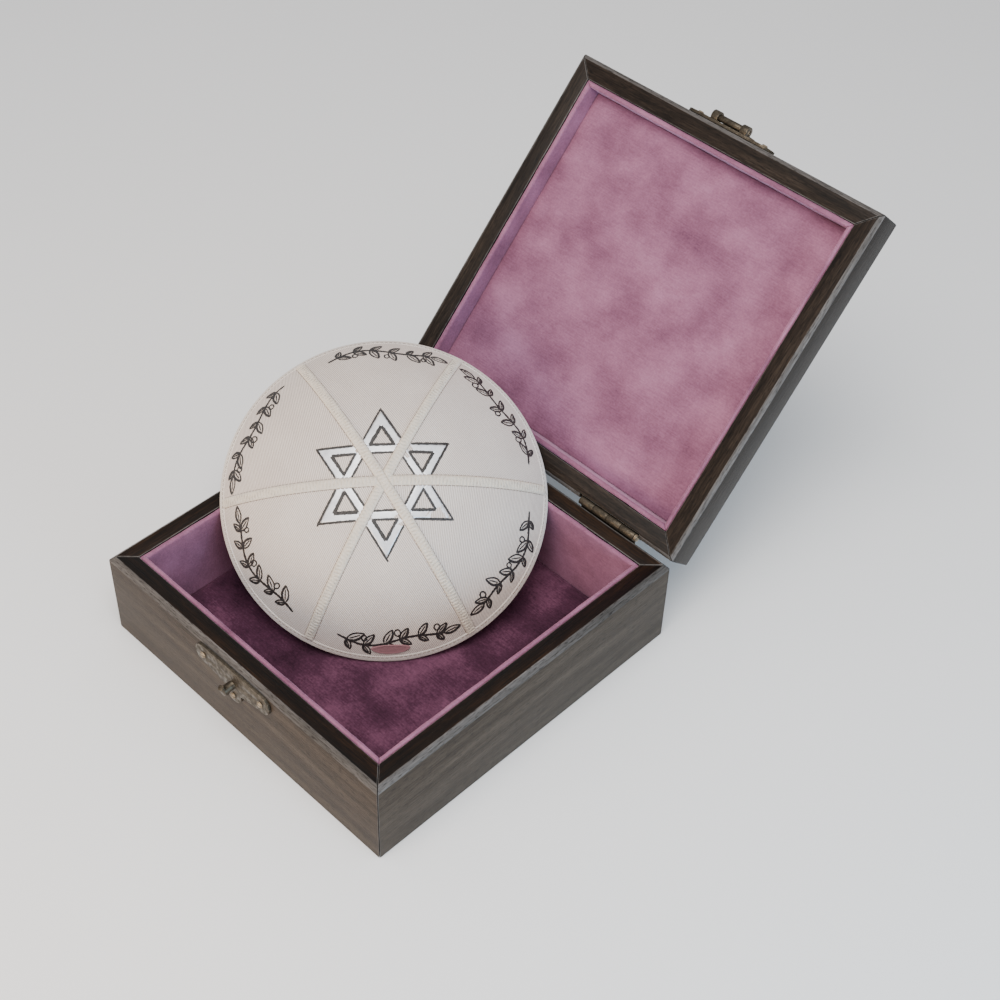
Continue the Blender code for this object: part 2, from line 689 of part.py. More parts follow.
def build_kippah():
    for number in range(PANELS):
        middle = KIPPAH_TURN + (number + 0.5) * GORE
        panel = add_object("panel_%d" % (number + 1), panel_mesh(middle), "cloth", kippah_group)
        solidify(panel, CLOTH, -1)
    opposite = CROWN_SEAM + PANELS // 2
    crown = add_object(
        "seam_tape_crown", crown_tape_mesh(KIPPAH_TURN + CROWN_SEAM * GORE), "tape", kippah_group,
    )
    solidify(crown, TAPE_THICKNESS, 1)
    seams = [number for number in range(PANELS) if number not in (CROWN_SEAM, opposite)]
    for count, number in enumerate(seams):
        next_to_crown = (number + 1) % PANELS in (CROWN_SEAM, opposite)
        mesh = half_tape_mesh(KIPPAH_TURN + number * GORE, 1 if next_to_crown else -1)
        tape = add_object("seam_tape_%d" % (count + 1), mesh, "tape", kippah_group)
        solidify(tape, TAPE_THICKNESS, 1)
    build_binding()
    build_label()


def resting_pose():
    """The kippah's place: its edge touches the floor pad and the lips of the left and back walls."""
    drop, level = math.sin(KIPPAH_TILT), math.cos(KIPPAH_TILT)
    inner_radius = KIPPAH_RADIUS - BINDING_THICKNESS * math.sin(DOME_ANGLE)
    inner_sink = BINDING_THICKNESS * math.cos(DOME_ANGLE)
    reach = max(KIPPAH_RADIUS * drop, inner_radius * drop + inner_sink * level)
    centre_z = FLOOR_TOP + GAP + reach
    lip_back = LIP_ROUND * (1 - math.sqrt(0.5))
    lip_half = LINED_HALF + lip_back - GAP
    lip_height = BOX_HEIGHT - lip_back + GAP
    rise = (lip_height - centre_z) / (KIPPAH_RADIUS * drop)
    spread = math.sqrt(1 - rise**2)
    ahead, beside = math.cos(KIPPAH_YAW), math.sin(KIPPAH_YAW)
    centre = Vector((
        -lip_half + KIPPAH_RADIUS * (spread * ahead + rise * level * beside),
        lip_half - KIPPAH_RADIUS * (spread * beside + rise * level * ahead),
        centre_z,
    ))
    turn = Matrix.Rotation(KIPPAH_YAW, 4, "Z") @ Matrix.Rotation(KIPPAH_TILT, 4, "X")
    return Matrix.Translation(centre) @ turn


# Assembly

def hang_on(name, group, pivot, placed):
    """Parents a group, drawn where the pivot stood, to an empty that carries it to its place."""
    empty = bpy.data.objects.new(name, None)
    parts.objects.link(empty)
    empty.matrix_world = placed
    bpy.context.view_layer.update()
    for item in group:
        item.parent = empty
        item.matrix_parent_inverse = pivot.inverted()
    return empty


clear_scene()
parts = make_collection("kippah_in_open_box")
cutters = make_collection("cutters")
materials = {name: make_material(name) for name in FINISHES}
lid_group, lever_group, kippah_group = [], [], []

walls = build_box()
rails = build_lid()
for side, name in ((-1, "hinge_left"), (1, "hinge_right")):
    build_hinge(name, side * HINGE_X, walls["back"], rails["back"])
build_clasp_plate()
build_hasp_plate()
build_lever()
build_kippah()

hinge_axis = Matrix.Translation((0, HINGE_Y, HINGE_Z))
lever_axis = Matrix.Translation((CLASP_SHIFT, PIVOT_Y, PIVOT_Z))
lever_empty = hang_on("hasp_lever_axis", lever_group, lever_axis, lever_axis)
lid_group.append(lever_empty)
opened = hinge_axis @ Matrix.Rotation(-LID_OPEN, 4, "X")
hang_on("lid_hinge_axis", lid_group, hinge_axis, opened)
hang_on("kippah_rest", kippah_group, Matrix.Identity(4), resting_pose())
bpy.context.view_layer.update()
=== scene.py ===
# %% [markdown]
# # A kippah in its open presentation box
#
# The real object is a skullcap of six twill panels, with cream tapes over its seams, a bound edge, a star in
# silver paint and a border drawn in black ink. It leans inside a dark wooden box that is lined with velvet.
# The measured solids come from another script. This lesson puts the finishes, the fine edges, the stitches
# and the drawing on them, and it moves none of them.

# %% Load the frame
import json
import math
import random

import bmesh
import bpy
import numpy as np
from mathutils import Matrix, Vector, noise

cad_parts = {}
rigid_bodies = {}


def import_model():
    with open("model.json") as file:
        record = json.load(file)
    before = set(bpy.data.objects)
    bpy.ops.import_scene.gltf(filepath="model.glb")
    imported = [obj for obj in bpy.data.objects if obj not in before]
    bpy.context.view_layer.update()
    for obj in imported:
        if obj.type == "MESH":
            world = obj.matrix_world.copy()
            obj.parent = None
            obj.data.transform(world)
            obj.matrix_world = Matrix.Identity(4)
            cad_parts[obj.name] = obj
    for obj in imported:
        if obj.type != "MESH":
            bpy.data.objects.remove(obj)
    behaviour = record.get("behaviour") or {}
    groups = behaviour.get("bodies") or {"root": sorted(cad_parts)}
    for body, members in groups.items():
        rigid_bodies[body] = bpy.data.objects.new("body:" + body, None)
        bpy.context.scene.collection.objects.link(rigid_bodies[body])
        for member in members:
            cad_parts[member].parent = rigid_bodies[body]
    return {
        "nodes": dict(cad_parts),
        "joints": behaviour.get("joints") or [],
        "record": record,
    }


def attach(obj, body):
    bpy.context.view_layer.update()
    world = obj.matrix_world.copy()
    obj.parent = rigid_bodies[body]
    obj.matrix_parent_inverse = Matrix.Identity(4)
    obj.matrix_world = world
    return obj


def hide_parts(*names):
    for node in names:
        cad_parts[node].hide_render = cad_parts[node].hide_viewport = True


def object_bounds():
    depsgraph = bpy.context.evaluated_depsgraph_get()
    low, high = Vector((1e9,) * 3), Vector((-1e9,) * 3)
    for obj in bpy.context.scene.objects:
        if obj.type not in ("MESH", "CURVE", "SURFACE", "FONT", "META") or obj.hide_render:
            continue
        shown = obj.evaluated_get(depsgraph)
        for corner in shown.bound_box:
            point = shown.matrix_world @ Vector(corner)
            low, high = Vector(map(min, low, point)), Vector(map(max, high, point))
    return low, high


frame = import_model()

cad_low, cad_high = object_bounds()
print("solids loaded:", len(frame["nodes"]))
print("size in mm:", [round(1000 * side, 1) for side in cad_high - cad_low])

# %% [markdown]
# ## The camera
#
# A product photograph is easier to match when the camera is worked out first. The box is square, so its rim
# in the picture gives the direction and the distance. A long lens far away would flatten the box, and a wide
# one close by would bulge it; this one is a normal portrait lens a little under a metre away.

# %% Camera
CAMERA_PLACE = Vector((0.4638, -0.4114, 0.7182))
AZIMUTH = math.radians(43.42)
ELEVATION = math.radians(45.09)
ROLL = math.radians(2.07)
FOCAL_SHARE = 1.80466    # focal length as a share of the picture's side
SENSOR = 36.0

lens = bpy.data.cameras.new("camera")
lens.sensor_width = SENSOR
lens.lens = FOCAL_SHARE * SENSOR
lens.dof.use_dof = False
camera = bpy.data.objects.new("camera", lens)
bpy.context.scene.collection.objects.link(camera)
aim = Matrix.Rotation(AZIMUTH, 4, "Z") @ Matrix.Rotation(math.pi / 2 - ELEVATION, 4, "X")
camera.matrix_world = Matrix.Translation(CAMERA_PLACE) @ aim @ Matrix.Rotation(ROLL, 4, "Z")
bpy.context.scene.camera = camera
print("lens, mm:", round(lens.lens, 1))

# %% [markdown]
# ## The studio
#
# The floor is pale and plain, and the light is soft. A large lamp overhead lights the cap and the velvet.
# Two low lamps near the front corner, one warm and one cool, give the two outer faces of the box their own
# tones: the varnish mirrors whatever stands beside it.

# %% Floor and lamps
FLOOR_SIZE = 6.0
FLOOR_DROP = 0.0002


def take(item):
    """Selects one object alone and makes it the active one."""
    bpy.ops.object.select_all(action="DESELECT")
    item.select_set(True)
    bpy.context.view_layer.objects.active = item


def add_lamp(name, place, target, size, watts, colour):
    """A square area lamp that looks at a point."""
    data = bpy.data.lights.new(name, "AREA")
    data.shape = "SQUARE"
    data.size = size
    data.energy = watts
    data.color = colour
    item = bpy.data.objects.new(name, data)
    bpy.context.scene.collection.objects.link(item)
    item.location = place
    item.rotation_euler = (Vector(target) - Vector(place)).to_track_quat("-Z", "Y").to_euler()


bpy.ops.object.select_all(action="DESELECT")
bpy.ops.mesh.primitive_plane_add(size=FLOOR_SIZE, location=(0, 0, cad_low.z - FLOOR_DROP))
studio_floor = bpy.context.active_object
studio_floor.name = "studio_floor"

world = bpy.data.worlds.new("studio")
bpy.context.scene.world = world
world.use_nodes = True
sky = world.node_tree.nodes["Background"]
sky.inputs["Color"].default_value = (0.96, 0.97, 1.0, 1)
sky.inputs["Strength"].default_value = 0.60

add_lamp("overhead", (0.25, -0.35, 1.3), (0, 0, 0.05), 0.9, 21, (1.0, 0.97, 0.94))
add_lamp("warm_side", (0.05, -0.75, 0.12), (0.05, -0.1, 0.03), 0.5, 5.5, (1.0, 0.76, 0.52))
add_lamp("cool_side", (0.85, -0.10, 0.12), (0.1, -0.05, 0.03), 0.5, 7.0, (0.42, 0.72, 1.0))

# %% [markdown]
# ## Helpers for the finishes
#
# Each finish is a small network of shader nodes. Writing one node per call keeps the network readable, and
# it can be built by hand in the shader editor in the same order.

# %% Node helpers


def start_finish(name, roughness, metallic=0.0):
    """A new material with its shader ready to be wired."""
    material = bpy.data.materials.new(name)
    material.use_nodes = True
    tree = material.node_tree
    shader = tree.nodes["Principled BSDF"]
    shader.inputs["Roughness"].default_value = roughness
    shader.inputs["Metallic"].default_value = metallic
    return material, tree, shader


def add_node(tree, kind, sockets=None, **settings):
    """Adds a node, sets its options, and fills or wires its sockets."""
    made = tree.nodes.new("ShaderNode" + kind)
    for option, value in settings.items():
        setattr(made, option, value)
    for socket, value in (sockets or {}).items():
        if isinstance(value, bpy.types.NodeSocket):
            tree.links.new(value, made.inputs[socket])
        else:
            made.inputs[socket].default_value = value
    return made


def wire(tree, output, socket):
    """Links an output to a socket."""
    tree.links.new(output, socket)


def object_place(tree, turn=(0, 0, 0), stretch=(1, 1, 1)):
    """Object coordinates, turned first and stretched afterwards."""
    spot = add_node(tree, "TexCoord").outputs["Object"]
    turned = add_node(tree, "Mapping", {"Vector": spot, "Rotation": turn}).outputs[0]
    return add_node(tree, "Mapping", {"Vector": turned, "Scale": stretch}).outputs[0]


def speckle(tree, vector, scale, detail=2.0):
    """A noise value between 0 and 1."""
    made = add_node(tree, "TexNoise", {"Vector": vector, "Scale": scale, "Detail": detail})
    return made.outputs["Fac"]


def blend_colours(tree, fac, stops):
    """A colour ramp through (place, colour) stops."""
    made = add_node(tree, "ValToRGB", {"Fac": fac})
    elements = made.color_ramp.elements
    first, last = stops[0], stops[-1]
    elements[0].position, elements[0].color = first[0], (*first[1], 1)
    elements[1].position, elements[1].color = last[0], (*last[1], 1)
    for place, colour in stops[1:-1]:
        elements.new(place).color = (*colour, 1)
    return made.outputs["Color"]


def calculate(tree, operation, first, second):
    """One sum on two values."""
    return add_node(tree, "Math", {0: first, 1: second}, operation=operation).outputs[0]


def weigh(tree, *parts):
    """Adds up (value, weight) pairs."""
    total = None
    for value, weight in parts:
        share = calculate(tree, "MULTIPLY", value, weight)
        total = share if total is None else calculate(tree, "ADD", total, share)
    return total


def tint(tree, first, second):
    """Multiplies two colours."""
    sockets = {"Fac": 1.0, "Color1": first, "Color2": second}
    return add_node(tree, "MixRGB", sockets, blend_type="MULTIPLY").outputs[0]


def set_shader(shader, **values):
    """Sets the shader's own sockets; Sheen_Weight stands for the socket Sheen Weight."""
    for socket, value in values.items():
        shader.inputs[socket.replace("_", " ")].default_value = value


def raise_surface(tree, shader, height, distance, strength):
    """Bump from a height value, with its real depth in metres."""
    sockets = {"Height": height, "Distance": distance, "Strength": strength}
    wire(tree, add_node(tree, "Bump", sockets).outputs[0], shader.inputs["Normal"])


def paper_finish():
    """The pale seamless paper below the box."""
    material, tree, shader = start_finish("studio_paper", 0.9)
    clouds = speckle(tree, object_place(tree), 3.0)
    colour = blend_colours(tree, clouds, [(0.0, (0.86, 0.86, 0.86)), (1.0, (0.90, 0.90, 0.90))])
    wire(tree, colour, shader.inputs["Base Color"])
    return material


studio_floor.data.materials.append(paper_finish())
print("first finish:", studio_floor.data.materials[0].name)

# %% [markdown]
# ## Which way the lid faces
#
# The lid's solids stand open. Their grain and their lining are easier to think about with the lid shut, so
# one matrix turns a point of the shut lid to its open place, and its inverse brings it back. The hinge's
# place comes from the frame.

# %% The lid's turn
LID_OPEN = math.radians(133.5)
BODIES = frame["record"]["behaviour"]["bodies"]
BODY_OF = {node: body for body, nodes in BODIES.items() for node in nodes}
lid_joint = next(joint for joint in frame["joints"] if joint["name"] == "lid_hinge")
hinge = Matrix.Translation(Vector(lid_joint["pos_m"]))
OPENED = hinge @ Matrix.Rotation(-LID_OPEN, 4, "X") @ hinge.inverted()
PLACED = {"box": Matrix.Identity(4), "lid": OPENED}


def shut_box(node, quarter=0):
    """A node's corners with the lid shut, turned so that its side of the box faces the front."""
    back = Matrix.Rotation(-quarter * math.pi / 2, 4, "Z") @ PLACED[BODY_OF[node]].inverted()
    points = np.array([back @ vert.co for vert in frame["nodes"][node].data.vertices])
    return Vector(points.min(0)), Vector(points.max(0))


def hand_over(item, body, slot, *nodes):
    """Says what a piece rides on and which solids it stands for; slot, its finish, is not used."""
    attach(item, body)
    if nodes:
        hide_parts(*nodes)


lid_low, lid_high = shut_box("rail_front")
print("shut lid spans, mm:", round(1000 * lid_low.z, 1), "to", round(1000 * lid_high.z, 1))

# %% [markdown]
# ## Wood finish
#
# The boards are a dark open-grained wood such as wenge or stained walnut. Its figure is long and thin, so
# noise is squeezed hard across the board and hardly along it. Three scales are enough: broad bands, fine
# fibres, and the short dark pores that the varnish doesn't fill. An image would show the same bands on each
# board; noise in object space gives every board its own.

# %% Wood finish
# The dark, middle and light tone of each kind of face. It is one wood, and the tones that differ by face are
# painted light and shade.
WOOD = {
    "rim": ((0.002, 0.001, 0.0005), (0.008, 0.0036, 0.0016), (0.026, 0.012, 0.005)),
    # edge: pale bare wood where the varnish wears, made paler still as a painted highlight
    "edge": ((0.045, 0.040, 0.036), (0.085, 0.077, 0.072), (0.14, 0.128, 0.122)),
    # side: lighter than the rim, a painted reflection of the varnish on the box's outer faces
    "side": ((0.020, 0.013, 0.008), (0.040, 0.028, 0.019), (0.066, 0.049, 0.035)),
    # lid_rim: lighter than the box's rim, painted light on the face that meets the box
    "lid_rim": ((0.005, 0.003, 0.002), (0.017, 0.011, 0.0075), (0.040, 0.028, 0.020)),
    # lid_side: darker than the lid's rim, painted shade on the lid's outer faces
    "lid_side": ((0.002, 0.0012, 0.0008), (0.006, 0.0034, 0.0022), (0.014, 0.009, 0.006)),
}
WOOD_ROUGHNESS = {"rim": 0.42, "edge": 0.55, "side": 0.55, "lid_rim": 0.50, "lid_side": 0.38}


def wood_finish(role, body, across):
    """The wood of one kind of face. across is true for boards that run along Y."""
    name = "wood_%s_%s_%s" % (role, body, "y" if across else "x")
    if name in bpy.data.materials:
        return bpy.data.materials[name]
    material, tree, shader = start_finish(name, WOOD_ROUGHNESS[role])
    turn = (LID_OPEN if body == "lid" else 0, 0, -math.pi / 2 if across else 0)
    bands = speckle(tree, object_place(tree, turn, (10, 150, 150)), 1.0, 4.0)
    fibres = speckle(tree, object_place(tree, turn, (70, 1300, 1300)), 1.0, 3.0)
    pores = speckle(tree, object_place(tree, turn, (260, 2600, 2600)), 1.0, 1.0)
    figure = weigh(tree, (bands, 0.55), (fibres, 0.45))
    dark, middle_tone, light = WOOD[role]
    colour = blend_colours(tree, figure, [(0.36, dark), (0.50, middle_tone), (0.66, light)])
    open_pores = blend_colours(tree, pores, [(0.56, (1, 1, 1)), (0.66, (0.35, 0.33, 0.32))])
    wire(tree, tint(tree, colour, open_pores), shader.inputs["Base Color"])
    set_shader(shader, Coat_Weight=0.04, Coat_Roughness=0.30, Specular_IOR_Level=0.16)
    relief = calculate(tree, "SUBTRACT", fibres, calculate(tree, "MULTIPLY", pores, 0.8))
    raise_surface(tree, shader, relief, 0.0002, 0.55)
    return material


print("wood tones:", ", ".join(WOOD))

# %% [markdown]
# ## Boards with softened edges
#
# The solids of the boards have sharp corners, which no sanded box has. Each board is copied, its loose
# triangles are merged, and a small bevel rounds every corner. The bevel's own faces take a paler finish:
# varnish wears thin there first, and the pale tone also paints a highlight on them. The wide chamfer round
# the rim takes the same pale tone, so faces that slope between upright and level take it too. The outer
# faces of the box take a lighter tone than the rim, a painted reflection, and those of the lid a darker
# one, painted shade.

# %% Boards
# Width of the bevelled edge, whose pale tone is wear and a painted highlight
EDGE_WEAR_AND_HIGHLIGHT = 0.00035
BEVEL_SEGMENTS = 2
RIM_FACE, EDGE_FACE, SIDE_FACE = range(3)
SIDE_NAMES = ("front", "right", "back", "left")


def merged_copy(node, name):
    """A copy of a solid with its triangles merged into clean faces."""
    item = bpy.data.objects.new(name, frame["nodes"][node].data.copy())
    bpy.context.scene.collection.objects.link(item)
    item.data.materials.clear()
    take(item)
    bpy.ops.mesh.customdata_custom_splitnormals_clear()
    bpy.ops.object.mode_set(mode="EDIT")
    bpy.ops.mesh.select_all(action="SELECT")
    bpy.ops.mesh.remove_doubles(threshold=0.00001)
    bpy.ops.mesh.dissolve_limited(angle_limit=math.radians(1))
    bpy.ops.object.mode_set(mode="OBJECT")
    return item


def soften(item, width):
    """Rounds all hard corners with a bevel in the second finish and smooths the shading."""
    take(item)
    bevel = item.modifiers.new("softened", "BEVEL")
    bevel.width = width
    bevel.segments = BEVEL_SEGMENTS
    bevel.limit_method = "ANGLE"
    bevel.angle_limit = math.radians(25)
    bevel.use_clamp_overlap = True
    # On the boards the bevel's faces take the edge tone: wear and a painted highlight
    bevel.material = EDGE_FACE
    bpy.ops.object.modifier_apply(modifier=bevel.name)
    bpy.ops.object.shade_smooth_by_angle(angle=math.radians(30))


def dress_board(node, outward, across):
    """One board of the box or the lid, with its rim, its edges (wear and a painted highlight) and its outer
    face (painted light and shade).
    """
    body = BODY_OF[node]
    item = merged_copy(node, node + "_board")
    lid = "lid_" if body == "lid" else ""
    for role in (lid + "rim", "edge", lid + "side"):
        item.data.materials.append(wood_finish(role, body, across))
    turn = PLACED[body].to_3x3().inverted()
    for face in item.data.polygons:
        normal = turn @ face.normal
        # Outer faces take the side tone: painted reflection on the box, painted shade on the lid
        if normal.dot(outward) > 0.9:
            face.material_index = SIDE_FACE
        elif 0.3 < abs(normal.z) < 0.95 and normal.dot(outward) > 0.3:
            face.material_index = EDGE_FACE
    soften(item, EDGE_WEAR_AND_HIGHLIGHT)
    hand_over(item, body, "wood", node)


for quarter, side in enumerate(SIDE_NAMES):
    facing = Matrix.Rotation(quarter * math.pi / 2, 3, "Z") @ Vector((0, -1, 0))
    dress_board("wall_" + side, facing, quarter % 2 == 1)
    dress_board("rail_" + side, facing, quarter % 2 == 1)
dress_board("floor_board", Vector((0, 0, -1)), False)
dress_board("lid_board", Vector((0, 0, 1)), False)

# %% [markdown]
# ## Velvet finish
#
# Velvet is a forest of short fibres. Seen along them it is pale, seen into them it is nearly black, and a
# brushed or pressed patch turns its tone. The sheen layer of the shader gives the pale rim. Cloudy noise
# stands for brushed patches, finer noise for the tufts, and faint straight rows for the weave below. The
# floor pad takes a darker copy of the same velvet, which is painted shade inside the box.

# %% Velvet finish
# Tone of the velvet as it stands, and a darker copy for the floor pad that is painted shade inside the box
VELVET_STOPS = [
    (0.25, (0.105, 0.038, 0.068)),
    (0.48, (0.225, 0.092, 0.150)),
    (0.75, (0.370, 0.165, 0.260)),
]
SHADED_VELVET_STOPS = [
    (0.30, (0.016, 0.005, 0.011)),
    (0.50, (0.060, 0.020, 0.040)),
    (0.78, (0.200, 0.075, 0.130)),
]


def velvet_finish(name, stops, turn=(0, 0, 0)):
    """Velvet with brushed clouds, tufts and rows, in the tones of stops."""
    material, tree, shader = start_finish(name, 0.85)
    clouds = speckle(tree, object_place(tree, turn), 42.0, 3.0)
    tufts = speckle(tree, object_place(tree, turn), 900.0, 2.0)
    rows = speckle(tree, object_place(tree, turn, (160, 1500, 1500)), 1.0, 1.0)
    tone = weigh(tree, (clouds, 0.62), (tufts, 0.22), (rows, 0.16))
    wire(tree, blend_colours(tree, tone, stops), shader.inputs["Base Color"])
    set_shader(shader, Sheen_Weight=0.45, Sheen_Roughness=0.38, Specular_IOR_Level=0.1)
    set_shader(shader, Sheen_Tint=(1.0, 0.62, 0.82, 1))
    raise_surface(tree, shader, tone, 0.0009, 0.8)
    return material


velvet = {
    "box": velvet_finish("velvet_box", VELVET_STOPS),
    "lid": velvet_finish("velvet_lid", VELVET_STOPS, (LID_OPEN, 0, 0)),
    "floor": velvet_finish("velvet_floor_painted_shade", SHADED_VELVET_STOPS),
}
print("velvet finishes:", len(velvet))

# %% [markdown]
# ## Velvet strips with a rolled lip
#
# The strips are card wrapped in velvet, so the upper edge is a soft roll and the face is never quite flat.
# A grid is wrapped round the strip's section, like cloth round card, and its ends follow the mitre. Slow
# noise then pushes the surface in and out. A bevelled cube would keep its flat planes, which catch the
# light like plastic.

# %% Velvet strips
STRIP_ROWS = 120
STRIP_ROUND = 60
# Shares of the walk round a strip's section: up the hidden side, over the lip, down the inner face
OUTER_SHARE = 0.08
LIP_SHARE = 0.30
INNER_SHARE = 0.58
SOFT_WAVE = 0.00022
SOFT_FUZZ = 0.00010
WAVE_PITCH = 85
FUZZ_PITCH = 700
MERGE = 0.000002


def bent_grid(name, columns, rows, place):
    """A grid primitive whose points go where place says, for shares from 0 to 1 both ways."""
    bpy.ops.object.select_all(action="DESELECT")
    bpy.ops.mesh.primitive_grid_add(
        x_subdivisions=columns, y_subdivisions=rows, size=1, location=(0, 0, 0),
    )
    item = bpy.context.active_object
    item.name = name
    item.data.name = name
    for vert in item.data.vertices:
        vert.co = place(vert.co.x + 0.5, vert.co.y + 0.5)
    return item


def close_up(item, fill_ends=True):
    """Merges the seams of a wrapped grid, fills its open ends and turns its faces outwards."""
    bm = bmesh.new()
    bm.from_mesh(item.data)
    bmesh.ops.remove_doubles(bm, verts=bm.verts, dist=MERGE)
    if fill_ends:
        rims = [edge for edge in bm.edges if edge.is_boundary]
        bmesh.ops.holes_fill(bm, edges=rims, sides=0)
    bmesh.ops.recalc_face_normals(bm, faces=bm.faces)
    bm.to_mesh(item.data)
    bm.free()


def thicken(item, thickness):
    """Gives an open sheet its thickness, away from the side that its faces look to."""
    wall = item.modifiers.new("thickness", "SOLIDIFY")
    wall.thickness = thickness
    wall.offset = -1
    take(item)
    bpy.ops.object.modifier_apply(modifier=wall.name)


def softness(point):
    """How far velvet stands out at a point: a slow wave and a fine fuzz."""
    return SOFT_WAVE * noise.noise(point * WAVE_PITCH) + SOFT_FUZZ * noise.noise(point * FUZZ_PITCH)


def strip_section(thickness, height):
    """A function that walks round a strip's section: share to (depth, height, outward direction)."""
    radius = thickness / 2
    shoulder = height - radius

    def walk(share):
        if share < OUTER_SHARE:
            return 0.0, shoulder * share / OUTER_SHARE, Vector((0, -1, 0))
        share -= OUTER_SHARE
        if share < LIP_SHARE:
            angle = math.pi * (1 - share / LIP_SHARE)
            way = Vector((0, math.cos(angle), math.sin(angle)))
            return radius + radius * way.y, shoulder + radius * way.z, way
        share -= LIP_SHARE
        if share < INNER_SHARE:
            return thickness, shoulder * (1 - share / INNER_SHARE), Vector((0, 1, 0))
        share = (share - INNER_SHARE) / (1 - OUTER_SHARE - LIP_SHARE - INNER_SHARE)
        return thickness * (1 - share), 0.0, Vector((0, 0, -1))

    return walk


def velvet_strip(node, quarter):
    """One velvet strip of the box or the lid, wrapped round the place of its solid."""
    body = BODY_OF[node]
    low, high = shut_box(node, quarter)
    walk = strip_section(high.y - low.y, high.z - low.z)
    half = (high.x - low.x) / 2
    upright = body == "box"
    placed = PLACED[body] @ Matrix.Rotation(quarter * math.pi / 2, 4, "Z")

    def place(along, share):
        depth, height, way = walk(share)
        x = (2 * along - 1) * (half - depth)
        z = low.z + height if upright else high.z - height
        point = Vector((x, low.y + depth, z))
        push = Vector((way.x, way.y, way.z if upright else -way.z))
        point += push * softness(point + Vector((quarter, 0, 0)))
        return placed @ point

    item = bent_grid(node + "_velvet", STRIP_ROWS, STRIP_ROUND, place)
    close_up(item)
    item.data.materials.append(velvet[body])
    item.data.shade_smooth()
    hand_over(item, body, "velvet", node)


for quarter, side in enumerate(SIDE_NAMES):
    velvet_strip("lining_" + side, quarter)
    velvet_strip("lid_lining_" + side, quarter)
print("strips:", sum("lining" in item.name and "velvet" in item.name for item in bpy.data.objects))

# %% [markdown]
# ## Velvet pads
#
# The pads in the floor and in the lid are card with a thin layer of foam under the velvet. They wave very
# little and dip at the edge, where the cloth is pulled round. A grid is lifted by rules and given its
# thickness afterwards; a cloth simulation would add nothing here, because the card keeps the pad flat.

# %% Velvet pads
PAD_STEPS = 110
PAD_DIP = 0.0009
PAD_DIP_WIDTH = 0.001818
PAD_WAVE = 0.000175
PAD_WAVE_PITCH = 45
FOAM_SHARE = 0.8


def velvet_pad(node, upward):
    """A padded card: its soft face looks up from the floor, or down from the shut lid."""
    body = BODY_OF[node]
    low, high = shut_box(node)

    def place(across, along):
        x = low.x + (high.x - low.x) * across
        y = low.y + (high.y - low.y) * along
        inside = min(x - low.x, high.x - x, y - low.y, high.y - y)
        dip = PAD_DIP * math.exp(-inside / PAD_DIP_WIDTH)
        level = PAD_WAVE * (noise.noise(Vector((x, y, 3)) * PAD_WAVE_PITCH) - 1) - dip
        level += softness(Vector((x, y, 7)))
        z = high.z + level if upward else low.z - level
        return PLACED[body] @ Vector((x, y, z))

    item = bent_grid(node + "_velvet", PAD_STEPS, PAD_STEPS, place)
    if not upward:
        item.data.flip_normals()
    thicken(item, (high.z - low.z) * FOAM_SHARE)
    # The floor pad takes the darker velvet, painted shade inside the box.
    item.data.materials.append(velvet["floor" if upward else "lid"])
    bpy.ops.object.shade_smooth_by_angle(angle=math.radians(50))
    hand_over(item, body, "velvet", node)


velvet_pad("floor_pad", True)
velvet_pad("lid_pad", False)
print("pads:", sum("pad_velvet" in item.name for item in bpy.data.objects))

# %% [markdown]
# ## Where the kippah leans
#
# The cap is a shallow dome. All its pieces are drawn about its own crown and then carried to where it
# leans, so one matrix is needed. It is found from the ring of the edge binding: the ring's flattest
# direction is the dome's axis, and its middle is the dome's middle.

# %% The kippah's own frame
KIPPAH_HEIGHT = 0.0426
BINDING_WIDTH = 0.004
BINDING_THICKNESS = 0.0018
TAPE_WIDTH = 0.005
SEAM_TURN = math.radians(1.3)
PANELS = 6
GORE = 2 * math.pi / PANELS
PANEL_SAG = 0.0010
CLOTH = 0.0012
CLOTH_INSET = (BINDING_THICKNESS - CLOTH) / 2

ring = np.array([vert.co for vert in frame["nodes"]["edge_binding"].data.vertices])
ring_middle = ring.mean(0)
directions = np.linalg.svd(ring - ring_middle, full_matrices=False)[2]
crown_way = Vector(directions[2])
if crown_way.z < 0:
    crown_way.negate()
level_way = Vector((-crown_way.y, crown_way.x, 0)).normalized()
slope_way = crown_way.cross(level_way)
spread = (ring - ring_middle) @ np.array([level_way, slope_way]).T
KIPPAH_RADIUS = float(np.linalg.norm(spread, axis=1).max())
DOME_RADIUS = (KIPPAH_RADIUS**2 + KIPPAH_HEIGHT**2) / (2 * KIPPAH_HEIGHT)
DOME_ANGLE = 2 * math.atan2(KIPPAH_HEIGHT, KIPPAH_RADIUS)
ARC = DOME_RADIUS * DOME_ANGLE
lowest = float(((ring - ring_middle) @ np.array(crown_way)).min())
middle = Vector(ring_middle) + crown_way * (lowest + BINDING_THICKNESS * math.cos(DOME_ANGLE))
KIPPAH = Matrix.Identity(4)
for column, way in enumerate((level_way, slope_way, crown_way)):
    KIPPAH.col[column] = (*way, 0)
KIPPAH.col[3] = (*middle, 1)
print("cap across, mm:", round(2000 * KIPPAH_RADIUS, 1), "crown to edge, mm:", round(1000 * ARC, 1))

# %% [markdown]
# ## Walking over the dome
#
# Everything on the cap is placed by two lengths on the cloth: how far it is from the crown and which way.
# The panels sag a little between the seams, so the height of the cloth depends on both. A seam is a great
# circle of the dome, and a tape keeps its width beside it.

# %% Places on the dome
PANEL_END = DOME_ANGLE - BINDING_WIDTH / DOME_RADIUS


